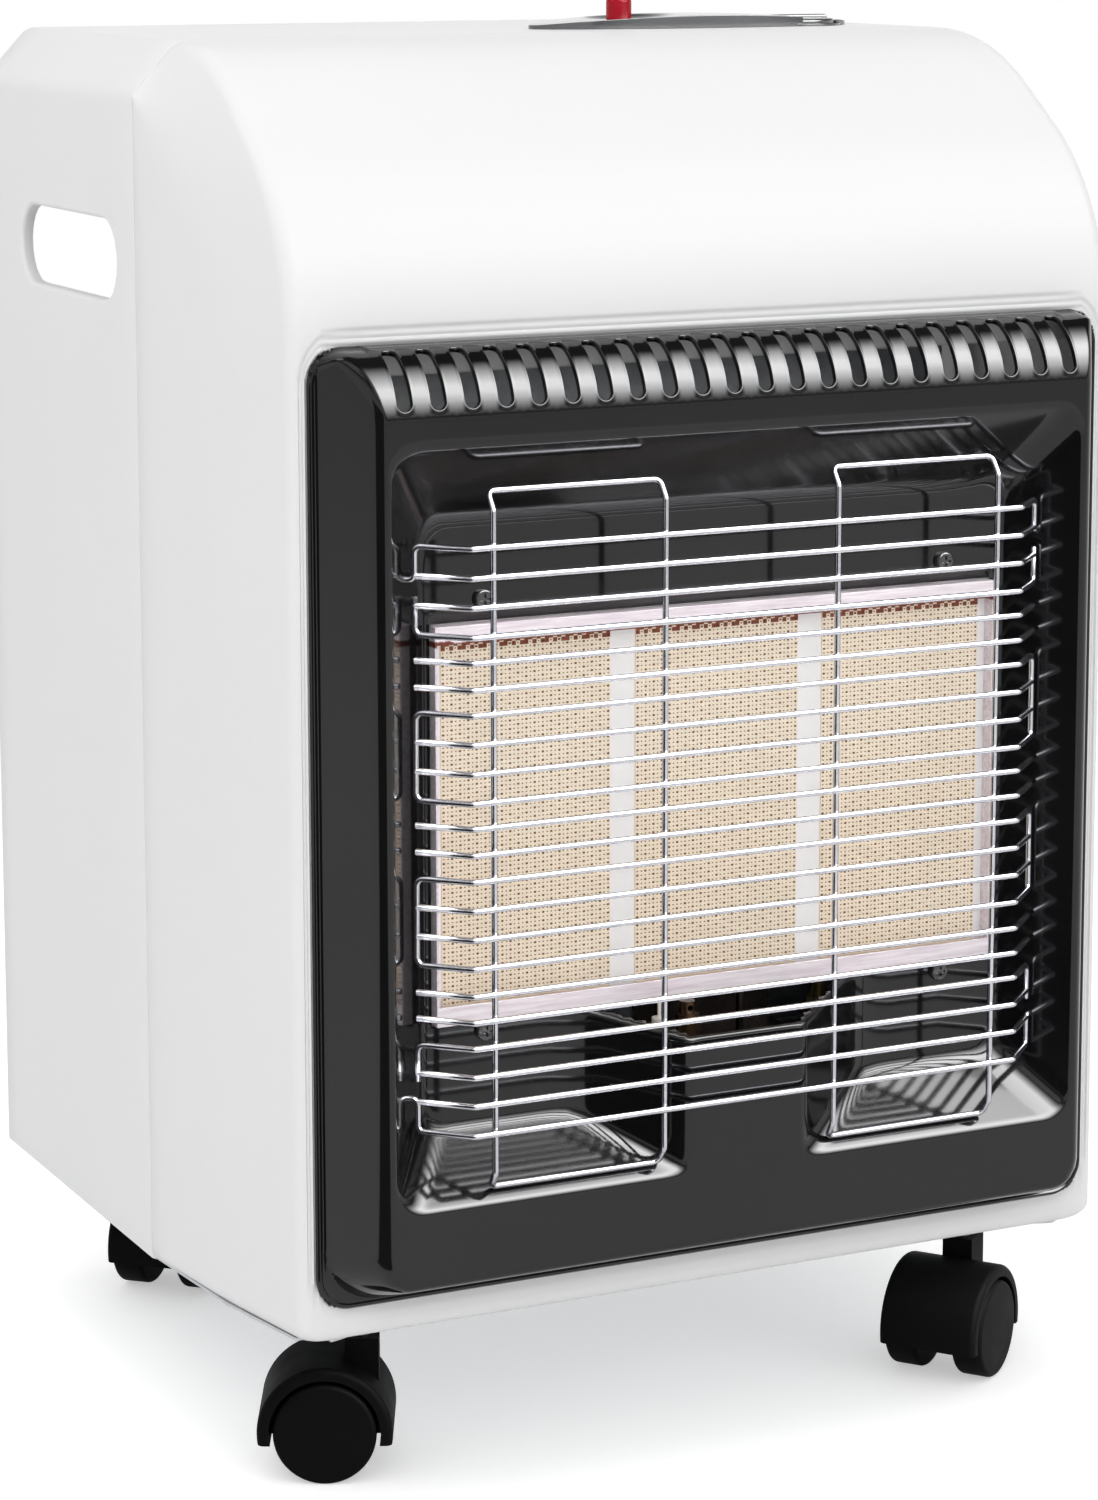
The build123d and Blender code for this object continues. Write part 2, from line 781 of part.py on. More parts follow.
def make_burner_bracket(side):
    """Plate behind an outer burner box that holds the manifold."""
    x0 = side * bracket_x
    x1 = side * (bracket_x + bracket_thickness)
    plate = block(
        min(x0, x1), max(x0, x1), box_back, manifold_y + manifold_radius + 5,
        manifold_z - manifold_radius - 6, frame_bottom + 20,
    )
    bore_radius = manifold_radius + running_clearance
    return plate - rod_x(min(x0, x1) - 1, max(x0, x1) + 1, manifold_y, manifold_z, bore_radius)


def make_heat_shield():
    """Galvanised sheet between the burner and the bottle bay, with a foot and a roof."""
    shield = block(-shield_half, shield_half, shield_y, shield_y + sheet, base_top, shield_top)
    back = shield_y + sheet
    shield += block(-shield_half, shield_half, shield_y - shield_foot, back, base_top, base_top + sheet)
    shield += block(-shield_half, shield_half, shield_y - shield_roof, back, shield_top - sheet, shield_top)
    return shield - rod_y(lead_x, shield_y - 2, shield_y + 4, lead_low, lead_radius + 1.6)


# ------------------------------------------------------------------ pilot light
def make_pilot_bracket():
    """Shelf under the burner that carries the pilot, the electrode and the thermocouple."""
    thickness = 1.2
    top = frame_bottom
    shelf = block(shelf_left, shelf_right, shelf_front, 3.2, shelf_z, shelf_z + thickness)
    web = block(shelf_left, shelf_right, 2.0, 3.2, shelf_z, top)
    flange = block(shelf_left, shelf_right, 2.0, plaque_thickness, top - thickness, top)
    bracket = shelf + web + flange
    for x, radius in ((pilot_x, 2.6), (electrode_x, 3.1), (thermocouple_x, 1.6)):
        bracket -= post(x, pilot_y, shelf_z - 1, shelf_z + thickness + 1, radius)
    return bracket


def make_pilot_burner():
    """Pilot head with its threaded inlet below the shelf."""
    seat = shelf_z + 1.2
    body = post(pilot_x, pilot_y, seat, seat + 9, 4.5)
    body += post(pilot_x, pilot_y, seat - 7, seat, 2.5)
    body += post(pilot_x, pilot_y, seat + 9, seat + 14, 3.0)
    body -= rod_y(pilot_x, pilot_y - 4, pilot_y + 10, seat + 11.5, 1.2)
    return body


def make_spark_electrode():
    """Ceramic insulator with a bent spark wire."""
    top = shelf_z + 10
    insulator = post(electrode_x, pilot_y, shelf_z - 5, top, 3.0)
    wire = tube(
        [
            (electrode_x, pilot_y, top),
            (electrode_x, pilot_y, top + 6),
            (electrode_x + 6, pilot_y, top + 7.5),
        ],
        0.7,
        1.5,
    )
    return insulator + wire


def make_thermocouple():
    """Probe beside the pilot flame and its capillary back to the valve."""
    probe = post(thermocouple_x, pilot_y, shelf_z - 5, shelf_z + 16, 1.5)
    side_x = main_pipe_x - 8
    valve_z = valve_middle - 10
    line = tube(
        [
            (thermocouple_x, pilot_y, shelf_z - 5),
            (thermocouple_x, pilot_y, capillary_low),
            (thermocouple_x, capillary_front, capillary_low),
            (side_x, capillary_front, capillary_low),
            (side_x, capillary_back, capillary_low),
            (side_x, capillary_back, valve_z),
            (knob_x - 13, capillary_back, valve_z),
            (knob_x - 13, valve_front, valve_z),
        ],
        capillary_radius,
        10,
    )
    return probe + line


def make_pilot_pipe():
    """Thin gas pipe from the valve to the pilot."""
    side_x = main_pipe_x - 14
    return tube(
        [
            (pilot_x, pilot_y, shelf_z + 1.2 - 7),
            (pilot_x, pilot_y, pilot_pipe_low),
            (pilot_x, pilot_pipe_front, pilot_pipe_low),
            (side_x, pilot_pipe_front, pilot_pipe_low),
            (side_x, pilot_pipe_back, pilot_pipe_low),
            (side_x, pilot_pipe_back, valve_middle),
            (knob_x - 6, pilot_pipe_back, valve_middle),
            (knob_x - 6, valve_front, valve_middle),
        ],
        pilot_pipe_radius,
        12,
    )


def make_main_pipe():
    """Gas pipe from the valve round the heat shield to the manifold."""
    start_z = valve_middle + 8
    return tube(
        [
            (knob_x + 8, valve_front, start_z),
            (knob_x + 8, main_pipe_back, start_z),
            (main_pipe_x, main_pipe_back, start_z),
            (main_pipe_x, main_pipe_back, manifold_z),
            (main_pipe_x, manifold_y, manifold_z),
            (manifold_half, manifold_y, manifold_z),
        ],
        main_pipe_radius,
        10,
    )


def make_piezo_lead():
    """Insulated spark lead from the igniter to the electrode."""
    behind = shield_y + 6
    return tube(
        [
            (button_x, control_y, igniter_bottom),
            (button_x, control_y, lead_high),
            (button_x, behind, lead_high),
            (lead_x, behind, lead_high),
            (lead_x, behind, lead_low),
            (lead_x, 44, lead_low),
            (electrode_x, 44, lead_low),
            (electrode_x, pilot_y, lead_low),
            (electrode_x, pilot_y, shelf_z - 5),
        ],
        lead_radius,
        8,
    )


# ------------------------------------------------------------------ controls
def make_control_plate():
    """Oval domed plate with a dish around the button and a well for the knob."""
    rise = plate_crown - plate_edge
    dome_radius = ((plate_length / 2) ** 2 + rise ** 2) / (2 * rise)
    outline = Pos(control_x, control_y, cabinet_height) * Ellipse(plate_length / 2, plate_width / 2)
    plate = extrude(outline, amount=plate_crown + 1)
    plate &= Pos(control_x, control_y, cabinet_height + plate_crown - dome_radius) * Sphere(dome_radius)
    dish_floor = cabinet_height + 2.5
    plate -= Pos(button_x, control_y, dish_floor + 100) * Sphere(100)
    cup_floor = well_floor - 1.5
    plate += post(knob_x, control_y, cup_floor, cabinet_height + 1, well_radius + 1.5)
    plate -= post(knob_x, control_y, well_floor, cabinet_height + plate_crown + 2, well_radius)
    plate -= post(knob_x, control_y, cup_floor - 1, well_floor + 1, spindle_radius + 4.0)
    above = cabinet_height + plate_crown + 2
    return plate - post(button_x, control_y, cabinet_height - 1, above, button_radius + 0.3)


def make_piezo_igniter():
    """Piezo striker body with its fixing collar under the top sheet."""
    body = post(button_x, control_y, igniter_bottom, cabinet_height, button_radius + 3.0)
    body += post(button_x, control_y, top_inside - 5, top_inside, button_radius + 7.0)
    bore_radius = button_radius + running_clearance
    return body - post(button_x, control_y, igniter_bore, cabinet_height + 1, bore_radius)


def make_piezo_button():
    """Push button of the igniter."""
    bottom = igniter_bore + button_travel + 3
    button = post(button_x, control_y, bottom, button_top, button_radius)
    return chamfer(button.edges().group_by(Axis.Z)[-1], 0.8)


def make_valve_bracket():
    """Hanger that carries the gas valve below the top sheet."""
    half = well_radius + 3.0
    x0 = knob_x - half
    x1 = knob_x + half
    foot = 9.0
    y0 = control_y - 14
    y1 = control_y + 14
    plate = block(x0, x1, y0, y1, valve_top, valve_top + 1.2)
    plate += block(x0, x0 + 1.2, y0, y1, valve_top, top_inside)
    plate += block(x1 - 1.2, x1, y0, y1, valve_top, top_inside)
    plate += block(x0 - foot, x0 + 1.2, y0, y1, top_inside - 1.2, top_inside)
    plate += block(x1 - 1.2, x1 + foot, y0, y1, top_inside - 1.2, top_inside)
    return plate - post(knob_x, control_y, valve_top - 1, valve_top + 3, 7.2)


def make_gas_valve():
    """Valve body with a neck for the spindle."""
    half = valve_size / 2
    body = block(
        knob_x - half, knob_x + half, valve_front, control_y + half, valve_top - valve_height, valve_top
    )
    body = fillet(body.edges().filter_by(Axis.Z), 4)
    body += post(knob_x, control_y, valve_top, valve_top + 3, 7.0)
    bore_bottom = valve_top - 22
    return body - post(knob_x, control_y, bore_bottom, valve_top + 4, spindle_radius + running_clearance)


def make_knob_spring():
    """Return spring under the knob's collar."""
    wire = 0.6
    turns = 4
    path_height = spring_length - 2 * wire - 0.4
    coil = Helix(pitch=path_height / turns, height=path_height, radius=5.0)
    section = Plane(origin=coil @ 0, z_dir=coil % 0) * Circle(wire)
    return Pos(knob_x, control_y, valve_top + 3 + wire + 0.2) * sweep(section, path=coil, is_frenet=True)


def make_spindle_collar():
    """Thrust collar that rides on the return spring and does not turn."""
    collar = post(knob_x, control_y, collar_bottom, collar_bottom + collar_height, 6.5)
    return collar - post(
        knob_x, control_y, collar_bottom - 1, collar_bottom + collar_height + 1,
        spindle_radius + running_clearance
    )


def make_valve_spindle():
    """Spindle between the knob and the valve."""
    return post(knob_x, control_y, valve_top - 22 + knob_travel + 1, knob_top - 6, spindle_radius)


def make_control_knob():
    """Low round knob with a grip bar, sunk in the plate's well."""
    base = knob_top - knob_thickness
    knob = post(knob_x, control_y, base, knob_top, knob_radius)
    knob = chamfer(knob.edges().group_by(Axis.Z)[-1], 0.8)
    bar = Pos(knob_x, control_y, knob_top + 0.4) * Box(2 * knob_radius - 6, 7, 2.4)
    knob += fillet(bar.edges().group_by(Axis.Z)[-1], 1.0)
    knob += post(knob_x, control_y, collar_bottom + collar_height + 0.3, base, spindle_radius + 3.0)
    return knob - post(knob_x, control_y, collar_bottom, knob_top - 6, spindle_radius)


def make_gas_inlet():
    """Hose nozzle on the back of the valve."""
    back = control_y + valve_size / 2
    hexagon = Plane(origin=(knob_x, back, valve_middle), z_dir=(0, 1, 0)) * RegularPolygon(8.5, 6)
    body = extrude(hexagon, amount=8)
    body += rod_y(knob_x, back + 8, back + 8 + nozzle_length, valve_middle, nozzle_radius)
    return body - rod_y(knob_x, back + 4, back + 9 + nozzle_length, valve_middle, nozzle_radius / 2)


# ------------------------------------------------------------------ back door
def make_rear_cover():
    """Hinged back cover: a shallow tray with air slots and a finger slot."""
    back = cabinet_depth - door_setback
    tray = block(-door_half, door_half, back - door_return, back, door_bottom, door_top)
    tray -= block(
        -door_half + sheet, door_half - sheet, back - door_return - 1, back - sheet,
        door_bottom + sheet, door_top - sheet
    )
    rows = 6
    for row in range(rows):
        for side in (-1, 1):
            for height in (door_bottom + 40 + 14 * row, door_top - 110 + 14 * row):
                plane = Plane(origin=(side * 80, back + 1, height), x_dir=(1, 0, 0), z_dir=(0, 1, 0))
                tray -= extrude(plane * SlotOverall(90, 5), amount=-3)
    middle = (door_half - 34, back + 1, (door_bottom + door_top) / 2)
    finger = Plane(origin=middle, x_dir=(0, 0, 1), z_dir=(0, 1, 0))
    tray -= extrude(finger * SlotOverall(60, 22), amount=-3)
    return tray - post(hinge_x, hinge_y, door_bottom - 1, door_top + 1, hinge_pin_radius + running_clearance)


def make_hinge_pins():
    """Upright pins at the foot and the head of the rear cover."""
    low = post(hinge_x, hinge_y, base_top, door_bottom + 5, hinge_pin_radius)
    high = post(hinge_x, hinge_y, door_top - 5, door_top + 4.5, hinge_pin_radius)
    return group([low, high])


def make_hinge_bracket():
    """Angle on the rear flange that holds the upper hinge pin."""
    z0 = door_top + 3
    outer = -half_width + sheet + 0.5
    flange_front = shell_back - sheet
    arm = block(outer, hinge_x + 8, hinge_y - 8, flange_front, z0, z0 + 1.5)
    tab = block(outer, -half_width + rear_flange - 0.5, flange_front - 1.5, flange_front, z0, z0 + 20)
    return arm + tab - post(hinge_x, hinge_y, z0 - 1, z0 + 3, hinge_pin_radius)


def make_door_magnet():
    """Magnetic catch on the side opposite the hinge."""
    magnet_top = magnet_bottom + magnet_height
    return block(door_half + 0.6, half_width - sheet, hinge_y - 8, shell_back - sheet, magnet_bottom, magnet_top)


# ------------------------------------------------------------------ fasteners
def make_screw(length):
    """Pan-head screw pointing up, with its head below z = 0."""
    head = Pos(0, 0, -screw_head_height / 2) * Cylinder(screw_head_radius, screw_head_height)
    head = fillet(head.edges().group_by(Axis.Z)[0], 0.9)
    shank = Pos(0, 0, length / 2) * Cylinder(screw_radius, length)
    slot = Pos(0, 0, -screw_head_height) * (Box(4.4, 1.0, 1.6) + Box(1.0, 4.4, 1.6))
    return head + shank - slot


def make_panel_screws():
    """Screws through the panel's pan into the burner frame's ears."""
    return group([Pos(x, -sheet, z) * Rot(-90, 0, 0) * make_screw(5) for x, z in panel_screw_places()])


def make_base_screws():
    """Screws that join the base plate to the cover and the wrap."""
    return group([Pos(x, y, 0) * make_screw(6) for x, y in base_screw_places()])


# ------------------------------------------------------------------ casters
def on_caster(corner, shape):
    """Turns a caster piece about its stem and sets it at its corner."""
    x, y = stem_places[corner]
    return Pos(x, y, -caster_height) * Rot(0, 0, swivel_angles[corner]) * shape


def make_caster_socket(corner):
    """Socket on the base plate that grips the stem."""
    x, y = stem_places[corner]
    socket = post(x, y, base_top, base_top + 20, 7.0) + post(x, y, base_top, base_top + 1.5, 13.0)
    return socket - post(x, y, base_top - 1, base_top + 18, stem_radius)


def make_caster_stem(corner):
    """Steel stem between the socket and the hood."""
    x, y = stem_places[corner]
    return post(x, y, -caster_height + hood_skirt + 12.3, base_top + 18, stem_radius)


def lying(y0, y1, radius):
    """A cylinder on the wheel axis."""
    return rod_y(caster_trail, y0, y1, wheel_radius, radius)


def make_hood():
    """Plastic fork and mudguard of a twin-wheel caster."""
    body = lying(-hood_half_width, hood_half_width, hood_radius)
    body = fillet(body.edges(), 2.5)
    body &= block(-60, 60, -60, 60, hood_skirt, caster_height)
    boss = block(-boss_size / 2, boss_size / 2, -boss_size / 2, boss_size / 2, hood_skirt + 8, boss_top)
    body += boss
    inner = wheel_gap / 2 - 0.6
    for side in (-1, 1):
        near = side * inner
        far = side * (hood_half_width + 1)
        body -= lying(min(near, far), max(near, far), wheel_radius + 1.6)
    body -= post(0, 0, hood_skirt + 12, boss_top + 1, stem_radius + running_clearance)
    return body - lying(-inner - 1, inner + 1, axle_radius)


def make_axle():
    """Steel axle pressed into the hood."""
    reach = wheel_gap / 2 + wheel_width - 4
    return lying(-reach, reach, axle_radius)


def make_wheel(side):
    """One wheel with a domed outer face and a blind bore."""
    near = side * wheel_gap / 2
    far = side * (wheel_gap / 2 + wheel_width)
    wheel = lying(min(near, far), max(near, far), wheel_radius)
    wheel = fillet(wheel.edges(), 2.0)
    bore_end = side * (wheel_gap / 2 + wheel_width - 3.5)
    start = side * (wheel_gap / 2 - 1)
    return wheel - lying(min(start, bore_end), max(start, bore_end), axle_radius + running_clearance)


# ------------------------------------------------------------------ all nodes
def make_nodes():
    """Every node of the heater, by name, in the modelling frame."""
    nodes = {
        "front_cover": make_front_cover(),
        "cabinet_shell": make_cabinet_shell(),
        "base_plate": make_base_plate(),
        "rear_cover": make_rear_cover(),
        "rear_hinge_pins": make_hinge_pins(),
        "rear_hinge_bracket": make_hinge_bracket(),
        "rear_cover_magnet": make_door_magnet(),
        "front_panel": make_front_panel(),
        "guard_bars": make_guard_bars(),
        "guard_uprights": make_guard_uprights(),
        "burner_frame": make_burner_frame(),
        "plaque_gasket": make_gasket(),
        "venturi_tubes": group([make_venturi(x) for x in plaque_places().values()]),
        "gas_manifold": make_manifold(),
        "gas_injectors": group([make_injector(x) for x in plaque_places().values()]),
        "burner_brackets": group([make_burner_bracket(-1), make_burner_bracket(1)]),
        "heat_shield": make_heat_shield(),
        "pilot_bracket": make_pilot_bracket(),
        "pilot_burner": make_pilot_burner(),
        "pilot_gas_pipe": make_pilot_pipe(),
        "spark_electrode": make_spark_electrode(),
        "thermocouple": make_thermocouple(),
        "main_gas_pipe": make_main_pipe(),
        "piezo_igniter": make_piezo_igniter(),
        "piezo_button": make_piezo_button(),
        "piezo_lead": make_piezo_lead(),
        "control_plate": make_control_plate(),
        "valve_bracket": make_valve_bracket(),
        "gas_valve": make_gas_valve(),
        "valve_spindle": make_valve_spindle(),
        "spindle_collar": make_spindle_collar(),
        "knob_spring": make_knob_spring(),
        "control_knob": make_control_knob(),
        "gas_inlet_nozzle": make_gas_inlet(),
        "panel_screws": make_panel_screws(),
        "base_screws": make_base_screws(),
        "caster_sockets": group([make_caster_socket(corner) for corner in stem_places]),
        "caster_stems": group([make_caster_stem(corner) for corner in stem_places]),
    }
    for name, x in plaque_places().items():
        nodes["ceramic_plaque_" + name] = make_plaque(x)
        nodes["burner_box_" + name] = make_burner_box(x)
    for corner in stem_places:
        nodes["caster_hood_" + corner] = on_caster(corner, make_hood())
        nodes["caster_axle_" + corner] = on_caster(corner, make_axle())
        nodes["wheel_inner_" + corner] = on_caster(corner, make_wheel(-1))
        nodes["wheel_outer_" + corner] = on_caster(corner, make_wheel(1))
    return nodes


os.makedirs("parts", exist_ok=True)
for node_name, node_shape in make_nodes().items():
    placed = Pos(0, middle_shift, caster_height) * node_shape
    export_step(placed, os.path.join("parts", node_name + ".step"))
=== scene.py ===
"""Studio scene of the portable gas heater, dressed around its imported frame."""
import json
import math
from contextlib import contextmanager

import bmesh
import bpy
from mathutils import Matrix, Vector


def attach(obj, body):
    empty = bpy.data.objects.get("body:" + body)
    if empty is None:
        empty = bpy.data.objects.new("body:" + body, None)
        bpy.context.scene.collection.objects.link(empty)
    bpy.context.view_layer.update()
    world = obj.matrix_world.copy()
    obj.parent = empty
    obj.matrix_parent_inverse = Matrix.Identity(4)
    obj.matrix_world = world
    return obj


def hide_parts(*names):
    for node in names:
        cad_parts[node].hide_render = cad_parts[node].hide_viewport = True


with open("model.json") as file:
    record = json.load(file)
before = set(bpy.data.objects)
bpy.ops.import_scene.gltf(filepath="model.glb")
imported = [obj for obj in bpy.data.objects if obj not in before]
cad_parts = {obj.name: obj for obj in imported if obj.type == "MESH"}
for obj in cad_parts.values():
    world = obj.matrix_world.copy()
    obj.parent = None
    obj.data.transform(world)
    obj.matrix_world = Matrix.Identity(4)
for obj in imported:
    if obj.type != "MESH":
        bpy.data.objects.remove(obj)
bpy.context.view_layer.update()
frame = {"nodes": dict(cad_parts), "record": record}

# ---- shared sizes, in millimetres
# Modelling places: X to the right, Y from the cabinet's front face backwards, Z up from its underside.
SHIFT_Y = -136.4
LIFT_Z = 64.0
HALF_WIDTH = 190.0
DEPTH = 303.5
HEIGHT = 485.5
SEAM_Y = 123.0
SHEET = 1.0
FRONT_FOLD = 176.0
TOP_FOLD = 171.0
SIDE_FOLD = 184.7
SIDE_FOLD_Y = 56.0
BROW_START = 376.0
BROW_RADIUS = 91.0
BROW_SLOPE = math.radians(37)
TOP_CURVE_END = 118.0
SHOULDER_DROP = 20.5
SIDE_BROW_RADIUS = 79.0
PANEL_HALF = 169.6
PANEL_BOTTOM = 13.5
PANEL_DEPTH = 26.0
RIDGE_HALF = 151.6
RIDGE_BOTTOM = 25.5
RIDGE_TOP = 352.0
RECESS_HALF = 147.5
RECESS_BOTTOM = 55.5
RECESS_TOP = 343.0
PAN_HALF = 126.0
PAN_BOTTOM = 80.0
PAN_TOP = 310.0
WINDOW_HALF = 163.2
WINDOW_BOTTOM = 20.5
WINDOW_TOP = 366.0
VENT_COUNT = 22
VENT_PITCH = 13.5
VENT_WIDTH = 6.4
STRIP_BOTTOM = 265.4
STRIP_TOP = 272.3
CAD_STRIP_BOTTOM = 263.0
CAD_STRIP_TOP = 276.5
CONTROL_Y = 176.0
KNOB_X = 129.0
KNOB_HOLE_RADIUS = 21.0
BUTTON_X = 46.0
BUTTON_HOLE_RADIUS = 8.7


def place(x, y, z):
    """A modelling place in millimetres as a scene place in metres."""
    return Vector((x / 1000, (y + SHIFT_Y) / 1000, (z + LIFT_Z) / 1000))


# ---- materials
LOOKS = {}


def fill(node, values):
    """Gives each named input of a node its value: a plain one, or another node's output."""
    for key, value in values.items():
        if isinstance(value, bpy.types.NodeSocket):
            node.id_data.links.new(value, node.inputs[key])
        else:
            node.inputs[key].default_value = value


def add_node(tree, kind, values, **settings):
    node = tree.nodes.new("ShaderNode" + kind)
    for name, value in settings.items():
        setattr(node, name, value)
    fill(node, values)
    return node


def start_material(name):
    """A new material's node tree and shader; LOOKS keeps the material."""
    material = bpy.data.materials.new(name)
    material.use_nodes = True
    LOOKS[name] = material
    return material.node_tree, material.node_tree.nodes["Principled BSDF"]


def coordinates(tree, space):
    return add_node(tree, "TexCoord", {}).outputs[space]


def object_space(tree, scale=(1, 1, 1)):
    """Coordinates fixed to the piece, in metres times scale."""
    values = {"Vector": coordinates(tree, "Object"), "Scale": scale}
    return add_node(tree, "Mapping", values).outputs["Vector"]


def axes(tree, space):
    """The separate X, Y and Z of the coordinates."""
    return add_node(tree, "SeparateXYZ", {0: coordinates(tree, space)}).outputs


def noise(tree, vector, scale, detail=3.0, roughness=0.5):
    values = {"Vector": vector, "Scale": scale, "Detail": detail, "Roughness": roughness}
    return add_node(tree, "TexNoise", values).outputs["Fac"]


def ranged(tree, value, low, high, start=0.3, end=0.7):
    """A value carried over from start..end to low..high, and held there."""
    values = {"Value": value, "From Min": start, "From Max": end, "To Min": low, "To Max": high}
    return add_node(tree, "MapRange", values).outputs["Result"]


def blended(tree, factor, first, second):
    """Two colours mixed, each plain as (red, green, blue) or another node's output."""
    first, second = ((*value, 1.0) if isinstance(value, tuple) else value for value in (first, second))
    return add_node(tree, "Mix", {0: factor, 6: first, 7: second}, data_type="RGBA").outputs[2]


def bump(tree, height, strength, distance):
    values = {"Height": height, "Strength": strength, "Distance": distance}
    return add_node(tree, "Bump", values).outputs["Normal"]


def math_node(tree, operation, first, second):
    return add_node(tree, "Math", {0: first, 1: second}, operation=operation).outputs["Value"]


def coated(name, light, dark, rough, grain=900.0, grain_depth=2e-5, coat=0.0, specular=0.5):
    """Paint, enamel or plastic: slight colour drift, uneven gloss and a fine surface grain."""
    tree, shader = start_material(name)
    vector = object_space(tree)
    fill(shader, {
        "Base Color": blended(tree, ranged(tree, noise(tree, vector, 9.0, 2.0), 0, 1), light, dark),
        "Roughness": ranged(tree, noise(tree, vector, 34.0, 4.0, 0.6), *rough),
        "Normal": bump(tree, noise(tree, vector, grain, 2.0), 0.35, grain_depth),
        "Coat Weight": coat,
        "Coat Roughness": 0.06,
        "Specular IOR Level": specular,
    })


def metal(name, light, dark, rough, stretch=(1, 1, 1), grain=300.0):
    """Bare metal with a drawn or rolled grain along the stretched axis."""
    tree, shader = start_material(name)
    streak = noise(tree, object_space(tree, stretch), grain, 4.0, 0.65)
    fill(shader, {
        "Base Color": blended(tree, ranged(tree, streak, 0, 1), light, dark),
        "Roughness": ranged(tree, streak, *rough),
        "Normal": bump(tree, streak, 0.3, 1e-5),
        "Metallic": 1.0,
    })


def galvanised(name, light, dark, rough):
    """Zinc-coated sheet with its flat crystal spangle."""
    tree, shader = start_material(name)
    vector = object_space(tree)
    cells = add_node(tree, "TexVoronoi", {"Vector": vector, "Scale": 190.0}).outputs["Color"]
    tone = add_node(tree, "RGBToBW", {"Color": cells}).outputs["Val"]
    fill(shader, {
        "Base Color": blended(tree, ranged(tree, tone, 0, 1, 0.2, 0.8), light, dark),
        "Roughness": ranged(tree, tone, *rough, 0.2, 0.8),
        "Normal": bump(tree, noise(tree, vector, 500.0), 0.3, 2e-5),
        "Metallic": 0.9,
    })


def tinted_painted_sheen_strip(name, light, dark, stain, rough):
    """Pink heat-tinted sheet lightened to near white as a painted sheen, with a scorched line where the
    burner's top strip ends.
    """
    tree, shader = start_material(name)
    streak = noise(tree, object_space(tree, (0.06, 1, 1)), 620.0, 4.0, 0.6)
    # Base colour: real pink heat tint, lightened to near white as a painted sheen.
    sheen = blended(tree, ranged(tree, streak, 0, 1, 0.35, 0.65), light, dark)
    patchy = ranged(tree, noise(tree, object_space(tree), 90.0, 4.0, 0.7), 0.0, 0.0014, 0.4, 0.6)
    level = axes(tree, "Object")["Z"]
    line_z = (STRIP_BOTTOM + LIFT_Z) / 1000
    uneven = math_node(tree, "SUBTRACT", level, patchy)
    above = ranged(tree, uneven, 0.0, 1.0, line_z + 0.0002, line_z + 0.0007)
    below = ranged(tree, level, 1.0, 0.0, line_z - 0.0012, line_z - 0.0006)
    fill(shader, {
        "Base Color": blended(tree, math_node(tree, "MAXIMUM", above, below), stain, sheen),
        "Roughness": ranged(tree, streak, *rough),
        "Normal": bump(tree, streak, 0.3, 1e-5),
        "Metallic": 0.15,
        "Specular IOR Level": 0.25,
    })


coated("white_enamel", (0.83, 0.83, 0.835), (0.82, 0.82, 0.825), (0.28, 0.32), 220.0, 2e-6, specular=0.02)
coated("black_enamel", (0.004, 0.004, 0.0045), (0.007, 0.007, 0.0075), (0.08, 0.11), 650.0, 5e-6, 0.1, 0.35)
metal("bright_wire", (0.60, 0.60, 0.64), (0.48, 0.48, 0.52), (0.14, 0.24), grain=420.0)
metal("stainless", (0.74, 0.68, 0.67), (0.66, 0.60, 0.59), (0.36, 0.46), (0.05, 1, 1), 900.0)
galvanised("galvanised", (0.52, 0.54, 0.56), (0.60, 0.62, 0.64), (0.40, 0.50))
metal("brass", (0.80, 0.62, 0.30), (0.66, 0.48, 0.20), (0.24, 0.40), (1, 1, 0.2))
metal("aluminium_pipe", (0.82, 0.83, 0.84), (0.68, 0.69, 0.70), (0.30, 0.44), (1, 1, 0.3), 260.0)
metal("zinc_screw", (0.72, 0.72, 0.72), (0.52, 0.52, 0.53), (0.24, 0.42), grain=600.0)
coated("black_screw", (0.02, 0.02, 0.02), (0.04, 0.04, 0.042), (0.10, 0.18), 900.0, 1e-5, 0.6)
coated("ceramic", (1.0, 0.88, 0.71), (0.98, 0.83, 0.65), (0.75, 0.9), 1500.0, 1e-4, specular=0.1)
coated("ceramic_pore", (0.42, 0.19, 0.06), (0.30, 0.12, 0.035), (0.85, 0.95), 1500.0, 1e-4, specular=0.05)
coated("scorched_ceramic", (0.50, 0.20, 0.13), (0.16, 0.03, 0.02), (0.8, 0.9), 1500.0, 1e-4, specular=0.1)
coated("fibre", (1.0, 0.985, 0.975), (0.97, 0.95, 0.94), (0.85, 0.95), 1200.0, 2e-4, specular=0.1)
coated("dark_plastic", (0.075, 0.076, 0.080), (0.095, 0.096, 0.100), (0.10, 0.16), 1400.0, 1e-5, 0.7)
coated("black_plastic", (0.002, 0.002, 0.0022), (0.004, 0.004, 0.0042), (0.45, 0.6), 1600.0, 5e-5, 0.0, 0.05)
coated("red_plastic", (0.42, 0.003, 0.016), (0.37, 0.002, 0.012), (0.15, 0.25), specular=0.18)
coated("lead_insulation", (0.80, 0.79, 0.76), (0.70, 0.69, 0.66), (0.45, 0.6))
coated("insulator", (0.86, 0.83, 0.76), (0.80, 0.76, 0.68), (0.2, 0.3), 700.0)
# Near-black copies of steel and brass: painted shade for the pilot parts in the dark window under the burner.
metal("painted_shade_steel", (0.022, 0.017, 0.016), (0.010, 0.008, 0.008), (0.30, 0.45), grain=240.0)
metal("painted_shade_brass", (0.09, 0.06, 0.035), (0.05, 0.03, 0.018), (0.30, 0.45))
# Burner frame: pink heat tint with a painted sheen, and a dark red scorched line.
tinted_painted_sheen_strip("tinted_painted_sheen_strip", (0.88, 0.82, 0.85), (0.70, 0.61, 0.66), (0.16, 0.035, 0.025), (0.42, 0.55))
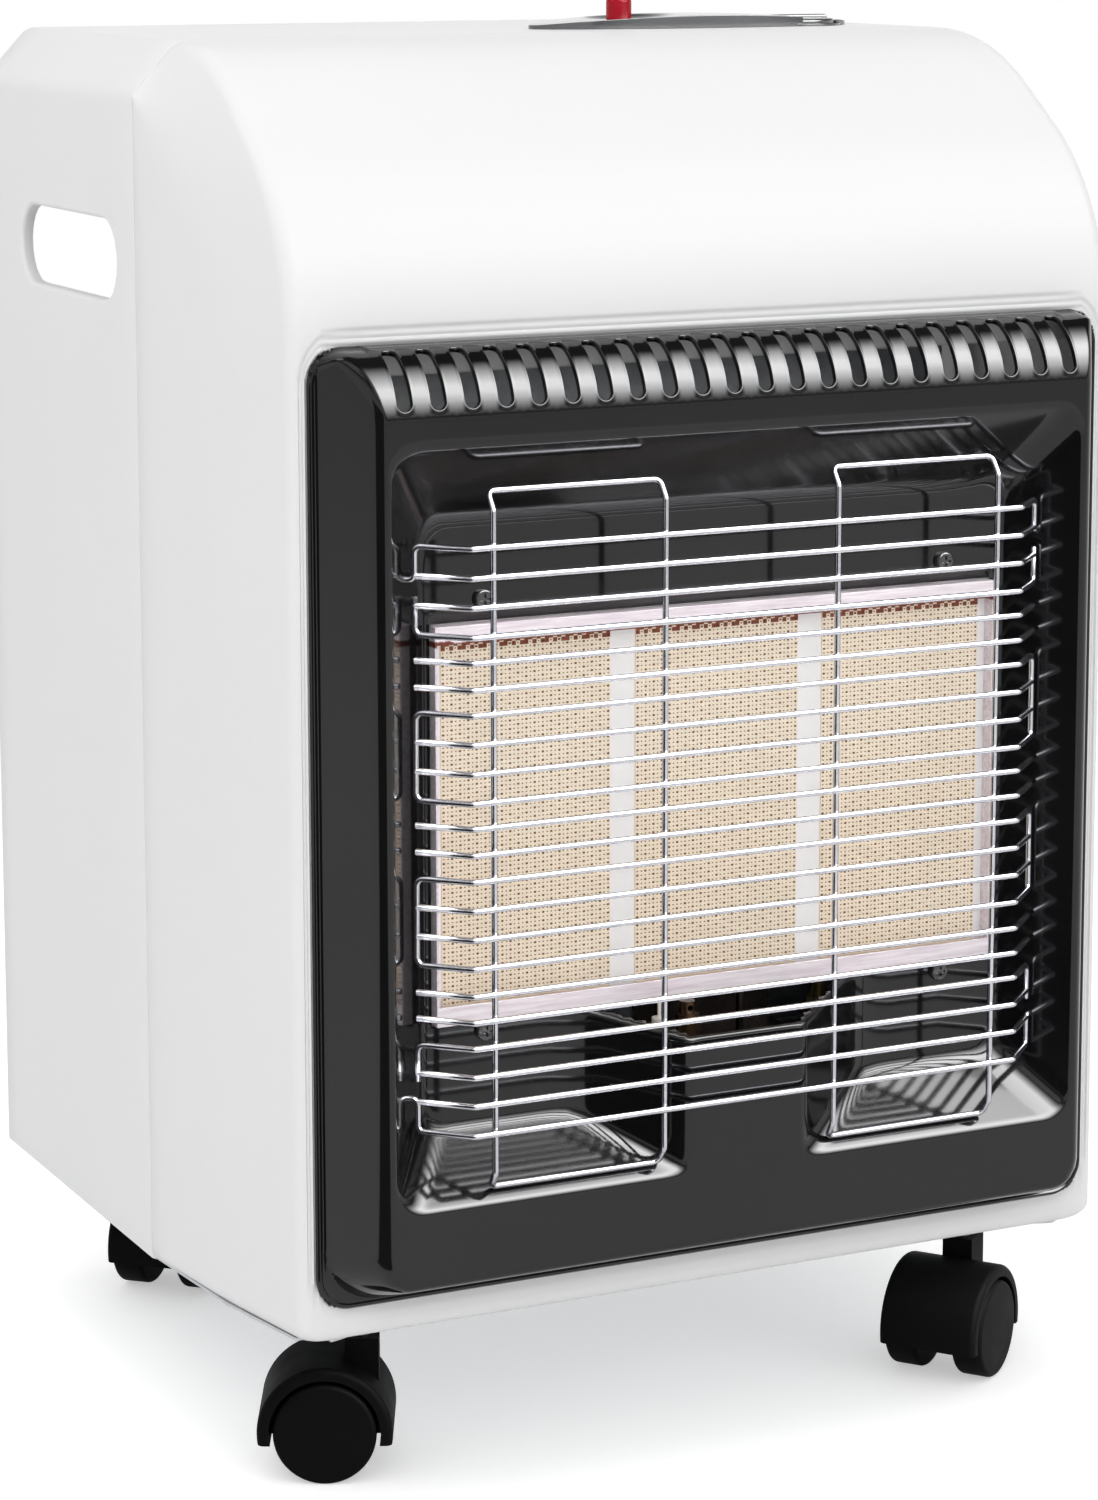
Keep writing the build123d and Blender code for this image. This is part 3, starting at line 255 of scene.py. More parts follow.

# The pilot parts wear the steel and brass darkened as painted shade; the burner frame wears the strip with
# its painted sheen.
NODE_LOOKS = {
    "pilot_bracket": "painted_shade_steel",
    "thermocouple": "painted_shade_steel",
    "pilot_burner": "painted_shade_brass",
    "burner_frame": "tinted_painted_sheen_strip",
}
NODE_SLOT = {part["node"]: part["material_slot"] for part in frame["record"]["subparts"]}
NODE_BODY = {
    node: body for body, nodes in frame["record"]["behaviour"]["bodies"].items() for node in nodes
}
DRESSED = set()
CREASE = 30


# ---- making pieces
def add_piece(node, mesh):
    """A new piece that stands for a CAD node and rides on its body."""
    piece = bpy.data.objects.new(node + "_finish", mesh)
    bpy.context.scene.collection.objects.link(piece)
    slot = NODE_SLOT[node]
    if not mesh.materials:
        mesh.materials.append(LOOKS[NODE_LOOKS.get(node, slot)])
    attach(piece, NODE_BODY[node])
    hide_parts(node)
    DRESSED.add(node)
    return piece


@contextmanager
def editing(mesh):
    """A mesh's form to edit, written back afterwards."""
    form = bmesh.new()
    form.from_mesh(mesh)
    yield form
    form.to_mesh(mesh)
    form.free()


def shade(mesh, crease=180):
    """Smooth shading up to a crease angle in degrees."""
    mesh.polygons.foreach_set("use_smooth", [True] * len(mesh.polygons))
    if crease < 180:
        mesh.set_sharp_from_angle(angle=math.radians(crease))


def mesh_from(name, points, faces, smooth=True):
    """A mesh from places in millimetres."""
    mesh = bpy.data.meshes.new(name)
    mesh.from_pydata([place(*point) for point in points], [], faces)
    mesh.update()
    if smooth:
        shade(mesh)
    return mesh


def refined(node, edge=0.35):
    """A CAD node's own form with joined faces, soft edges and smooth shading."""
    mesh = bpy.data.meshes.new(node + "_form")
    with editing(mesh) as form:
        form.from_mesh(frame["nodes"][node].data)
        bmesh.ops.remove_doubles(form, verts=form.verts, dist=1e-6)
        bmesh.ops.dissolve_limit(form, angle_limit=math.radians(0.6), verts=form.verts, edges=form.edges)
    if "custom_normal" in mesh.attributes:
        mesh.attributes.remove(mesh.attributes["custom_normal"])
    mesh.materials.clear()
    shade(mesh, CREASE)
    piece = add_piece(node, mesh)
    bevel = piece.modifiers.new("soft_edges", "BEVEL")
    bevel.width = edge / 1000
    bevel.segments = 2
    bevel.limit_method = "ANGLE"
    bevel.angle_limit = math.radians(CREASE)
    bevel.harden_normals = True
    return piece


# ---- shared shaping
def smooth_min(a, b, blend):
    """The lesser of two heights, eased where they meet."""
    near = max(blend - abs(a - b), 0.0) / blend
    return min(a, b) - near * near * blend / 4


def smooth_max(a, b, blend):
    return -smooth_min(-a, -b, blend)


def eased(value):
    """0 to 1 with soft ends."""
    value = min(max(value, 0.0), 1.0)
    return value * value * (3 - 2 * value)


def steps(start, stop, count):
    return [start + (stop - start) * index / count for index in range(count + 1)]


def runs(start, *spans):
    """Places from start through each span, given as (end, count)."""
    places = [start]
    for end, count in spans:
        places += steps(start, end, count)[1:]
        start = end
    return places


def corner_arc(start, corner, end, count):
    """Places on the round that turns from start to end about a corner."""
    first, second = (corner - start).normalized(), (end - corner).normalized()
    weight = math.sqrt(max(0.0, (1 + first.dot(second)) / 2))
    places = []
    for share in steps(0.0, 1.0, count):
        a, b, c = (1 - share) ** 2, 2 * weight * share * (1 - share), share ** 2
        places.append((start * a + corner * b + end * c) / (a + b + c))
    return places


def rounded_path(points, bend, closed):
    """A path of straight runs with round bends."""
    points = [Vector(point) for point in points]
    total = len(points)
    path = []
    for index, point in enumerate(points):
        if not closed and index in (0, total - 1):
            path.append(point)
            continue
        to_before = points[index - 1] - point
        to_after = points[(index + 1) % total] - point
        angle = to_before.angle(to_after)
        reach = min(bend / math.tan(angle / 2), 0.49 * to_before.length, 0.49 * to_after.length)
        start, end = (point + way.normalized() * reach for way in (to_before, to_after))
        path += corner_arc(start, point, end, 5)
    return path


def grid_faces(row_count, column_count, keep=None):
    """Faces between the rows and columns of a grid, all or those that keep allows."""
    faces = []
    for row in range(row_count - 1):
        for column in range(column_count - 1):
            if keep is None or keep(row, column):
                first = row * column_count + column
                faces.append((first, first + 1, first + column_count + 1, first + column_count))
    return faces


def mirrored(row):
    """A right-hand row, which starts in the middle, joined to its mirror image."""
    return [Vector((-point.x, point.y, point.z)) for point in row[:0:-1]] + row


def join_places(mesh, distance=2e-6):
    """Joins places that meet and drops the faces that this leaves without area."""
    with editing(mesh) as form:
        bmesh.ops.remove_doubles(form, verts=form.verts, dist=distance)
        bmesh.ops.dissolve_degenerate(form, edges=form.edges, dist=distance)
    shade(mesh)


def face_away(mesh, inside):
    """Turns the faces so that they look away from an inner place."""
    with editing(mesh) as form:
        bmesh.ops.recalc_face_normals(form, faces=form.faces)
        score = 0.0
        for face in form.faces:
            score += face.calc_area() * face.normal.dot(face.calc_center_median() - inside)
        if score < 0:
            bmesh.ops.reverse_faces(form, faces=form.faces)


def add_sheet(node, mesh, thickness, crease=180):
    """A piece of sheet metal whose outer side is the given mesh."""
    piece = add_piece(node, mesh)
    solid = piece.modifiers.new("sheet", "SOLIDIFY")
    solid.thickness = thickness / 1000
    solid.offset = -1.0
    shade(mesh, crease)
    return piece


# ---- front cover
UPPER_RADIUS = (
    (TOP_CURVE_END - BROW_RADIUS * (1 - math.sin(BROW_SLOPE))) * math.sin(BROW_SLOPE)
    - (HEIGHT - BROW_START - BROW_RADIUS * math.cos(BROW_SLOPE)) * math.cos(BROW_SLOPE)
) / (1 - math.cos(BROW_SLOPE))
LIP_TOP = 7.0
LIP_SIDE = 3.2
LIP_BOTTOM = 1.4
LIP_DEPTH = 1.5
LIP_RISE = 15.0
# Each step of the lip: its depth, and its start and length as shares of the lip's width.
LIP_STEPS = ((0.95, 0.0, 0.24), (-0.35, 0.24, 0.24), (0.5, 0.5, 0.1), (-0.55, 0.62, 0.12), (0.95, 0.86, 0.14))
PANEL_CORNER = 14.0
FOOT_RADIUS = 7.5
FOOT_RETURN = 9.0
SEAM_EDGE = 1.3
FOLD_REACH = 5.2
COVER_FLANGE = ((0.35, SEAM_Y - 0.4), (0.95, SEAM_Y), (10.0, SEAM_Y))


def front_profile(segment, share):
    """Depth and height on the front fold."""
    if segment == 0:
        return 0.0, BROW_START * share
    if segment == 1:
        angle = (math.pi / 2 - BROW_SLOPE) * share
        return BROW_RADIUS * (1 - math.cos(angle)), BROW_START + BROW_RADIUS * math.sin(angle)
    if segment == 2:
        low_end, high_start = front_profile(1, 1), front_profile(3, 0)
        return tuple(a + (b - a) * share for a, b in zip(low_end, high_start))
    if segment == 3:
        angle = BROW_SLOPE * (1 - share)
        return TOP_CURVE_END - UPPER_RADIUS * math.sin(angle), HEIGHT - UPPER_RADIUS * (1 - math.cos(angle))
    return TOP_CURVE_END + (SEAM_Y - TOP_CURVE_END) * share, HEIGHT


def side_profile(segment, share):
    """Depth and height on the side fold, matched to the front fold."""
    turn_y = SIDE_FOLD_Y + SIDE_BROW_RADIUS * (1 - math.sin(BROW_SLOPE))
    turn_z = HEIGHT - SHOULDER_DROP - (SEAM_Y - turn_y) * math.tan(BROW_SLOPE)
    start_z = turn_z - SIDE_BROW_RADIUS * math.cos(BROW_SLOPE)
    if segment == 0:
        return SIDE_FOLD_Y, start_z * share
    if segment == 1:
        angle = (math.pi / 2 - BROW_SLOPE) * share
        back = SIDE_BROW_RADIUS * (1 - math.cos(angle))
        return SIDE_FOLD_Y + back, start_z + SIDE_BROW_RADIUS * math.sin(angle)
    low, high = ((0.0, 0.35), (0.35, 0.9), (0.9, 1.0))[segment - 2]
    back = (SEAM_Y - turn_y) * (low + (high - low) * share)
    return turn_y + back, turn_z + back * math.tan(BROW_SLOPE)


def panel_outline_distance(x, z):
    """Distance outside the panel's rounded outline, and the outward direction."""
    out_x = abs(x) - (PANEL_HALF - PANEL_CORNER)
    top = RIDGE_TOP + PANEL_DEPTH - PANEL_CORNER
    low = PANEL_BOTTOM + PANEL_CORNER
    out_z = z - top if z > top else (low - z if z < low else -1.0)
    upwards = z > (top + low) / 2
    if out_x > 0 and out_z > 0:
        reach = math.hypot(out_x, out_z)
        return reach - PANEL_CORNER, out_x / reach, out_z / reach, upwards
    if out_x > out_z:
        return out_x - PANEL_CORNER, 1.0, 0.0, upwards
    return out_z - PANEL_CORNER, 0.0, 1.0, upwards


def lip_depth(x, z):
    """How far the white sheet steps back around the black panel."""
    distance, side_share, end_share, upwards = panel_outline_distance(x, z)
    width = side_share ** 2 * LIP_SIDE + end_share ** 2 * (LIP_TOP if upwards else LIP_BOTTOM)
    across = 1 - distance / width
    if across <= 0:
        return 0.0
    if across >= 1:
        return LIP_DEPTH
    return sum(depth * eased((across - start) / length) for depth, start, length in LIP_STEPS)


def cover_row(segment, share, inset):
    """Right half of one row of the front cover, from the middle to the seam."""
    front_y, front_z = front_profile(segment, share)
    side_y, side_z = side_profile(segment, share)
    front_x = FRONT_FOLD + (TOP_FOLD - FRONT_FOLD) * front_y / SEAM_Y
    side_x = SIDE_FOLD + (HALF_WIDTH - SIDE_FOLD) * (side_y - SIDE_FOLD_Y) / (SEAM_Y - SIDE_FOLD_Y)
    fold = Vector((front_x - 1.5 * inset, front_y + inset, front_z))
    side = Vector((side_x - inset, side_y + 0.8 * inset, side_z))
    end = Vector((HALF_WIDTH - 0.4 * inset, SEAM_Y, side_z))
    facet = side - fold
    slant = facet.normalized()
    reach = min(FOLD_REACH, 0.45 * facet.length)
    last_flat = fold.x - FOLD_REACH
    flat = [0, 30, 60, 90, 120, 145, 156, WINDOW_HALF]
    flat += steps(WINDOW_HALF, last_flat, 12)[1:-1]
    flat = [x * min(1.0, last_flat / WINDOW_HALF) for x in flat] if last_flat < WINDOW_HALF + 1 else flat
    row = [Vector((x, fold.y, front_z)) for x in flat]
    row += corner_arc(fold - Vector((reach, 0, 0)), fold, fold + slant * reach, 12)
    gap = (end - side).length
    soft = min(12.0, 0.4 * facet.length, 0.45 * max(gap, 0.02))
    row += [row[-1].lerp(side - slant * soft, part) for part in (0.25, 0.5, 0.75)]
    to_end = (end - side).normalized() if gap > 0.05 else slant
    row += corner_arc(side - slant * soft, side, side + to_end * soft, 6)
    before_end = side + to_end * soft if gap < soft + 1.4 else end - to_end * SEAM_EDGE
    row += [row[-1].lerp(before_end, part) for part in (0.33, 0.66, 1.0)]
    return row


def make_cover_mesh():
    heights = [FOOT_RADIUS * (1 - math.cos(math.radians(turn))) for turn in range(0, 91, 10)]
    heights += [9, 11, 13.5, 16, 20.5, 25, 30, 35] + steps(42, 340, 7) + [352, 360]
    heights += steps(WINDOW_TOP, BROW_START, 10)
    keys = [(0, z / BROW_START) for z in heights]
    lip_end = math.asin(LIP_RISE / BROW_RADIUS) / (math.pi / 2 - BROW_SLOPE)
    keys += [(1, share) for share in runs(0, (lip_end, 26), (1, 18))[1:]]
    keys += [(2, share) for share in steps(0, 1, 4)[1:]] + [(3, share) for share in steps(0, 1, 16)[1:]]
    keys += [(4, 0.5), (4, 0.8)]
    rows = [cover_row(0, 0, FOOT_RADIUS + FOOT_RETURN)]
    for segment, share in keys:
        height = BROW_START * share if segment == 0 else BROW_START
        fall = max(0.0, (FOOT_RADIUS - height) / FOOT_RADIUS)
        row = cover_row(segment, share, FOOT_RADIUS * (1 - math.sqrt(1 - fall * fall)))
        for point in row:
            if point.y < 12 and FOOT_RADIUS < point.z < 396:
                point.y += lip_depth(point.x, point.z)
        rows.append(row)
    last = rows[-1]
    for inward, y in COVER_FLANGE:
        shrink = 1 - inward / HALF_WIDTH
        rows.append([Vector((point.x * shrink, y, point.z - inward)) for point in last])
    for row in rows:
        tail = row[-1].copy()
        row += [Vector((tail.x - inward, y, tail.z)) for inward, y in COVER_FLANGE]
    points = [point for row in rows for point in mirrored(row)]
    width = 2 * len(rows[0]) - 1

    def keep(row, column):
        corners = [points[(row + a) * width + column + b] for a in (0, 1) for b in (0, 1)]
        inside_x = all(abs(corner.x) < WINDOW_HALF + 0.01 for corner in corners)
        inside_z = all(WINDOW_BOTTOM - 0.01 < corner.z < WINDOW_TOP + 0.01 for corner in corners)
        return not (inside_x and inside_z and max(corner.y for corner in corners) < 20)

    mesh = mesh_from("front_cover_sheet", points, grid_faces(len(rows), width, keep))
    join_places(mesh)
    face_away(mesh, place(0, 90, 240))
    return mesh


# ---- rear wrap
def wrap_row(inset, y):
    """Outline of the sides and top, seen from the front, drawn in by an inset."""
    half = HALF_WIDTH - inset
    top = HEIGHT - inset
    side_top = HEIGHT - SHOULDER_DROP - 0.4 * inset
    shoulder = TOP_FOLD - 0.42 * inset
    crease, edge = Vector((shoulder, y, top)), Vector((half, y, side_top))
    slope = (edge - crease).normalized()
    right = [Vector((shoulder * part, y, top)) for part in (0, 0.2, 0.27, 0.4, 0.6, 0.8)]
    right += corner_arc(crease - Vector((4, 0, 0)), crease, crease + slope * 4, 8)
    right += corner_arc(edge - slope * 4, edge, edge - Vector((0, 0, 4)), 8)
    right += [Vector((half, y, z)) for z in (430, 400, 330, 250, 170, 90, 30, 8)]
    foot = Vector((half, y, 0))
    right += corner_arc(foot + Vector((0, 0, 2.2)), foot, foot - Vector((2.2, 0, 0)), 5)
    right.append(Vector((HALF_WIDTH - 14, y, 0)))
    return mirrored(right)


def make_wrap_mesh():
    profile = [(10, SEAM_Y), (SEAM_EDGE, SEAM_Y), (0.4, SEAM_Y + 0.35), (0, SEAM_Y + SEAM_EDGE)]
    profile += [(0, y) for y in steps(SEAM_Y + 20, DEPTH - 20, 8)]
    profile += [(0, DEPTH - 1.6), (0.5, DEPTH - 0.45), (1.6, DEPTH), (12, DEPTH)]
    rows = [wrap_row(inset, y) for inset, y in profile]
    points = [point for row in rows for point in row]
    mesh = mesh_from("cabinet_shell_sheet", points, grid_faces(len(rows), len(rows[0])))
    join_places(mesh)
    face_away(mesh, place(0, 210, 240))
    return mesh


def stadium(half_length, radius):
    """A slot's outline about its middle, as (along, across) pairs."""
    straight = half_length - radius
    outline = []
    for middle, turn in ((straight, -math.pi / 2), (-straight, math.pi / 2)):
        for angle in steps(turn, turn + math.pi, 12):
            outline.append((middle + radius * math.cos(angle), radius * math.sin(angle)))
    return outline


HAND_Y = 201.0
HAND_Z = 399.0
HAND_HALF = 57.0
HAND_RADIUS = 16.0
RIM = 1.6
RIM_ROLL = (
    (RIM, 0.0), (0.75 * RIM, 0.06 * RIM), (0.3 * RIM, 0.35 * RIM), (0.06 * RIM, 0.75 * RIM), (0.0, RIM),
    (0.0, 5.0), (0.9, 5.0), (0.9, 1.2),
)
CUT_REACH = 8


def ring_faces(loops, size, start=0):
    """Faces between closed loops of equal size."""
    faces = []
    for loop in range(loops - 1):
        for index in range(size):
            after = (index + 1) % size
            low = start + loop * size
            high = low + size
            faces.append((low + index, low + after, high + after, high + index))
    return faces


def hand_hole_rim(side):
    """Rolled-in edge of a hand hole."""
    points = []
    for grow, inward in RIM_ROLL:
        outline = stadium(HAND_HALF + grow, HAND_RADIUS + grow)
        points += [(side * (HALF_WIDTH - inward), HAND_Y + a, HAND_Z + b) for a, b in outline]
    return points, ring_faces(len(RIM_ROLL), len(points) // len(RIM_ROLL))


def prism(near, far):
    """A closed block between two equal outlines, to cut with."""
    size = len(near)
    faces = ring_faces(2, size) + [tuple(range(size)), tuple(range(2 * size - 1, size - 1, -1))]
    mesh = mesh_from("hole_tool", near + far, faces, smooth=False)
    with editing(mesh) as form:
        bmesh.ops.recalc_face_normals(form, faces=form.faces)
    tool = bpy.data.objects.new("hole_tool", mesh)
    bpy.context.scene.collection.objects.link(tool)
    return tool


def cut(piece, tools):
    """Takes the tools' shapes out of a piece and removes the tools."""
    for tool in tools:
        step = piece.modifiers.new("cut", "BOOLEAN")
        step.operation = "DIFFERENCE"
        step.solver = "EXACT"
        step.object = tool
    depsgraph = bpy.context.evaluated_depsgraph_get()
    cut_mesh = bpy.data.meshes.new_from_object(piece.evaluated_get(depsgraph))
    piece.modifiers.clear()
    piece.data = cut_mesh
    for tool in tools:
        bpy.data.objects.remove(tool)


def join_mesh(target, points, faces):
    """Adds more faces, given in millimetres, to a mesh."""
    extra = mesh_from("extra_faces", points, faces)
    with editing(target) as form:
        form.from_mesh(extra)
    bpy.data.meshes.remove(extra)


def make_wrap():
    piece = add_sheet("cabinet_shell", make_wrap_mesh(), SHEET)
    tools = []
    outline = stadium(HAND_HALF + RIM, HAND_RADIUS + RIM)
    for side in (-1, 1):
        ends = (side * (HALF_WIDTH - CUT_REACH), side * (HALF_WIDTH + CUT_REACH))
        loops = [[(x, HAND_Y + a, HAND_Z + b) for a, b in outline] for x in ends]
        tools.append(prism(*loops))
    circle = [(math.cos(math.tau * k / 48), math.sin(math.tau * k / 48)) for k in range(48)]
    for x, radius in ((KNOB_X, KNOB_HOLE_RADIUS), (BUTTON_X, BUTTON_HOLE_RADIUS)):
        ends = (HEIGHT - CUT_REACH, HEIGHT + CUT_REACH)
        loops = [[(x + radius * a, CONTROL_Y + radius * b, z) for a, b in circle] for z in ends]
        tools.append(prism(*loops))
    cut(piece, tools)
    for side in (-1, 1):
        join_mesh(piece.data, *hand_hole_rim(side))
    shade(piece.data, 40)


# ---- front panel
PANEL_SHEET = 0.9
VENT_HALF_SPAN = VENT_COUNT * VENT_PITCH / 2
ARC_LENGTH = PANEL_DEPTH * math.pi / 2
SLOT_START = PANEL_DEPTH * math.radians(8.5)
SLOT_END = PANEL_DEPTH * math.radians(71)
STRAIGHT_START = SLOT_START + VENT_WIDTH / 2
STRAIGHT_END = SLOT_END - VENT_WIDTH / 2
STRAIGHT_STEPS = 14
END_STEPS = 8
# Each turn of a slot's lip: how far it is drawn in from the slot's edge, and its height.
SLOT_LIP = ((-0.8, 0.0), (-0.45, 0.08), (-0.1, 0.12), (0.12, 0.0), (0.26, -0.3), (0.32, -0.9), (0.32, -1.8))
RIM_EDGE = 2.6
RIDGE_CORNER = 11.0
PAN_CORNER = 12.0
FLAT_STEP = 0.9
BURNER_HALF = 121.9
BURNER_BOTTOM = 118.9
BURNER_TOP = STRIP_TOP + 0.6
TONGUE_TOP = 121.0
TONGUE_TOP_RUN = 12.0
TONGUE_HALF = 65.0
TONGUE_SIDE_RUN = 40.0
PILOT_WINDOW_BOTTOM = 108.5
PILOT_WINDOW_MARGIN = 4.5


def arc_stations():
    """Places along the curved rim where the slotted cells and the mitred ends share rows."""
    return runs(0.0, (STRAIGHT_START, END_STEPS), (STRAIGHT_END, STRAIGHT_STEPS), (ARC_LENGTH, END_STEPS))


def boss_height(x, z):
    """Height of the panel's outer form: sloped sides, rounded corners and curved top."""
    across = max(0.0, abs(x) - (RIDGE_HALF - RIDGE_CORNER))
    down = max(0.0, RIDGE_BOTTOM + RIDGE_CORNER - z)
    reach = math.hypot(across, down)
    if across > 0 and down > 0:
        beyond = reach - RIDGE_CORNER
        side_share = (across / reach) ** 2
    else:
        beyond = max(across, down) - RIDGE_CORNER
        side_share = 1.0 if across >= down else 0.0
    width = side_share * (PANEL_HALF - RIDGE_HALF) + (1 - side_share) * (RIDGE_BOTTOM - PANEL_BOTTOM)
    slope = PANEL_DEPTH * (1 - beyond / (width - RIM_EDGE))
    height = smooth_min(PANEL_DEPTH, slope, 4.5)
    inward = -panel_outline_distance(x, z)[0]
    rim = 1.5 * eased(inward / 0.9) - 0.7 * eased((inward - 1.5) / 1.0)
    above = z - RIDGE_TOP
    if above <= 0:
        return max(rim, height)
    curve = math.sqrt(max(0.0, PANEL_DEPTH ** 2 - above ** 2))
    mitre = 0.01 + 6.0 * eased((abs(x) - VENT_HALF_SPAN) / 8.0)
    height = smooth_min(height, curve, mitre)
    if abs(x) <= VENT_HALF_SPAN:
        return max(0.0, min(height, curve))
    return max(min(rim, curve + 0.4), height * eased(inward / 2.2))


def recess_height(x, z):
    """Height of the recess around the burner, with rounded corners."""
    side_run = RECESS_HALF - PAN_HALF
    upper = z > (PAN_TOP + PAN_BOTTOM) / 2
    end_run = RECESS_TOP - PAN_TOP if upper else PAN_BOTTOM - RECESS_BOTTOM
    across = abs(x) - (PAN_HALF - PAN_CORNER)
    along = z - (PAN_TOP - PAN_CORNER) if upper else (PAN_BOTTOM + PAN_CORNER) - z
    share = max((across - PAN_CORNER) / side_run, (along - PAN_CORNER) / end_run)
    if across > 0 and along > 0:
        square = side_run ** 2 + end_run ** 2
        mixed = side_run * across + end_run * along
        inner = mixed ** 2 - square * (across ** 2 + along ** 2 - PAN_CORNER ** 2)
        if inner >= 0:
            arc = (mixed - math.sqrt(inner)) / square
            if across - side_run * arc > 0 and along - end_run * arc > 0:
                share = arc
    return smooth_max(1.0, PANEL_DEPTH * share, 3.0)


def tongue_height(x, z):
    """Height of the tongue that divides the bottom of the recess."""
    top = PANEL_DEPTH * (TONGUE_TOP - z) / TONGUE_TOP_RUN
    side = PANEL_DEPTH * (TONGUE_HALF - abs(x)) / TONGUE_SIDE_RUN
    return smooth_min(top, side, 5.0)


def panel_height(x, z):
    outer = boss_height(x, z)
    if z > RECESS_TOP + 8 or z < RECESS_BOTTOM - 8 or abs(x) > RECESS_HALF + 3:
        return outer
    inner = smooth_max(recess_height(x, z), tongue_height(x, z), 6.0)
    return min(outer, smooth_min(PANEL_DEPTH, inner, 1.3))


def window_limit(z):
    """Half width of the opening in the tongue's top at a height."""
    return TONGUE_HALF - TONGUE_SIDE_RUN * (TONGUE_TOP - z) / TONGUE_TOP_RUN - PILOT_WINDOW_MARGIN


def panel_lines():
    """Grid lines of the panel, close together where its form turns."""
    right = runs(
        0, (20, 5), (30, 8), (66, 18), (114, 8), (BURNER_HALF, 5), (129, 6), (144, 10),
        (VENT_HALF_SPAN, 6), (155, 10), (165, 10), (PANEL_HALF, 12),
    )
    up = runs(
        PANEL_BOTTOM, (17, 12), (24, 9), (29, 6), (50, 6), (60, 12), (76, 10), (84, 8), (104, 8),
        (BURNER_BOTTOM, 14), (124, 3), (BURNER_TOP, 12), (304, 6), (316, 10), (338, 12), (RIDGE_TOP, 16),
    )
    up += [RIDGE_TOP + PANEL_DEPTH * math.sin(a / PANEL_DEPTH) for a in arc_stations()[1:]]
    return [-x for x in right[:0:-1]] + right, up


def on_outline(x, z):
    """Draws a place outside the panel's rounded outline back onto it."""
    distance, side_share, end_share, upwards = panel_outline_distance(x, z)
    if distance <= 0 or not 0 < side_share < 1:
        return x, z
    sign = 1 if x > 0 else -1
    return x - sign * side_share * distance, z - (end_share if upwards else -end_share) * distance


def make_panel_mesh():
    across, up = panel_lines()
    points = []
    for z in up:
        in_window = PILOT_WINDOW_BOTTOM < z < BURNER_BOTTOM - 0.05
        limit = window_limit(z) if in_window else 0.0
        near = min((x for x in across if x > 0), key=lambda x: abs(x - limit)) if in_window else 0.0
        for x in across:
            at_limit = in_window and abs(abs(x) - near) < 1e-6
            real_x, real_z = on_outline(math.copysign(limit, x) if at_limit else x, z)
            points.append((real_x, -panel_height(real_x, real_z), real_z))
    width = len(across)

    def keep(row, column):
        x = (across[column] + across[column + 1]) / 2
        z = (up[row] + up[row + 1]) / 2
        if abs(x) < BURNER_HALF and BURNER_BOTTOM < z < BURNER_TOP:
            return False
        if abs(x) < VENT_HALF_SPAN and z > RIDGE_TOP - FLAT_STEP:
            return False
        if PILOT_WINDOW_BOTTOM < up[row] and up[row + 1] < BURNER_BOTTOM + 0.05:
            corner_x = [abs(points[(row + a) * width + column + b][0]) for a in (0, 1) for b in (0, 1)]
            limit = max(window_limit(up[row]), window_limit(up[row + 1]))
            return not all(value <= limit + 0.01 for value in corner_x)
        return True

    faces = grid_faces(len(up), width, keep)
    cells, cell_faces = vent_cells(len(points))
    flat_row = up.index(RIDGE_TOP) - 1
    inner = [column for column, x in enumerate(across) if abs(x) <= VENT_HALF_SPAN + 1e-6]
    lower = [(across[column], flat_row * width + column) for column in inner]
    upper = [(point[0], len(points) + index) for index, point in enumerate(cells) if point[2] == RIDGE_TOP]
    strip_faces = joining_strip(lower, sorted(upper))
    points += cells
    turned = [face for group in (faces, strip_faces, cell_faces) for face in turned_forward(points, group)]
    mesh = mesh_from("front_panel_sheet", points, turned)
    join_places(mesh, 2e-5)
    return mesh


def turned_forward(points, faces):
    """The same faces, wound so that together they look towards the front."""
    total = 0.0
    for face in faces:
        first, second, third = (Vector(points[item]) for item in face[:3])
        total += (second - first).cross(third - first).y
    return faces if total < 0 else [face[::-1] for face in faces]


def joining_strip(lower, upper):
    """Triangles between two rows whose places, given as (x, index), don't line up."""
    faces = []
    low, high = 0, 0
    while low < len(lower) - 1 or high < len(upper) - 1:
        step_low = high == len(upper) - 1
        if low < len(lower) - 1 and not step_low:
            step_low = lower[low + 1][0] <= upper[high + 1][0]
        if step_low:
            faces.append((lower[low][1], lower[low + 1][1], upper[high][1]))
            low += 1
        else:
            faces.append((lower[low][1], upper[high + 1][1], upper[high][1]))
            high += 1
    return faces


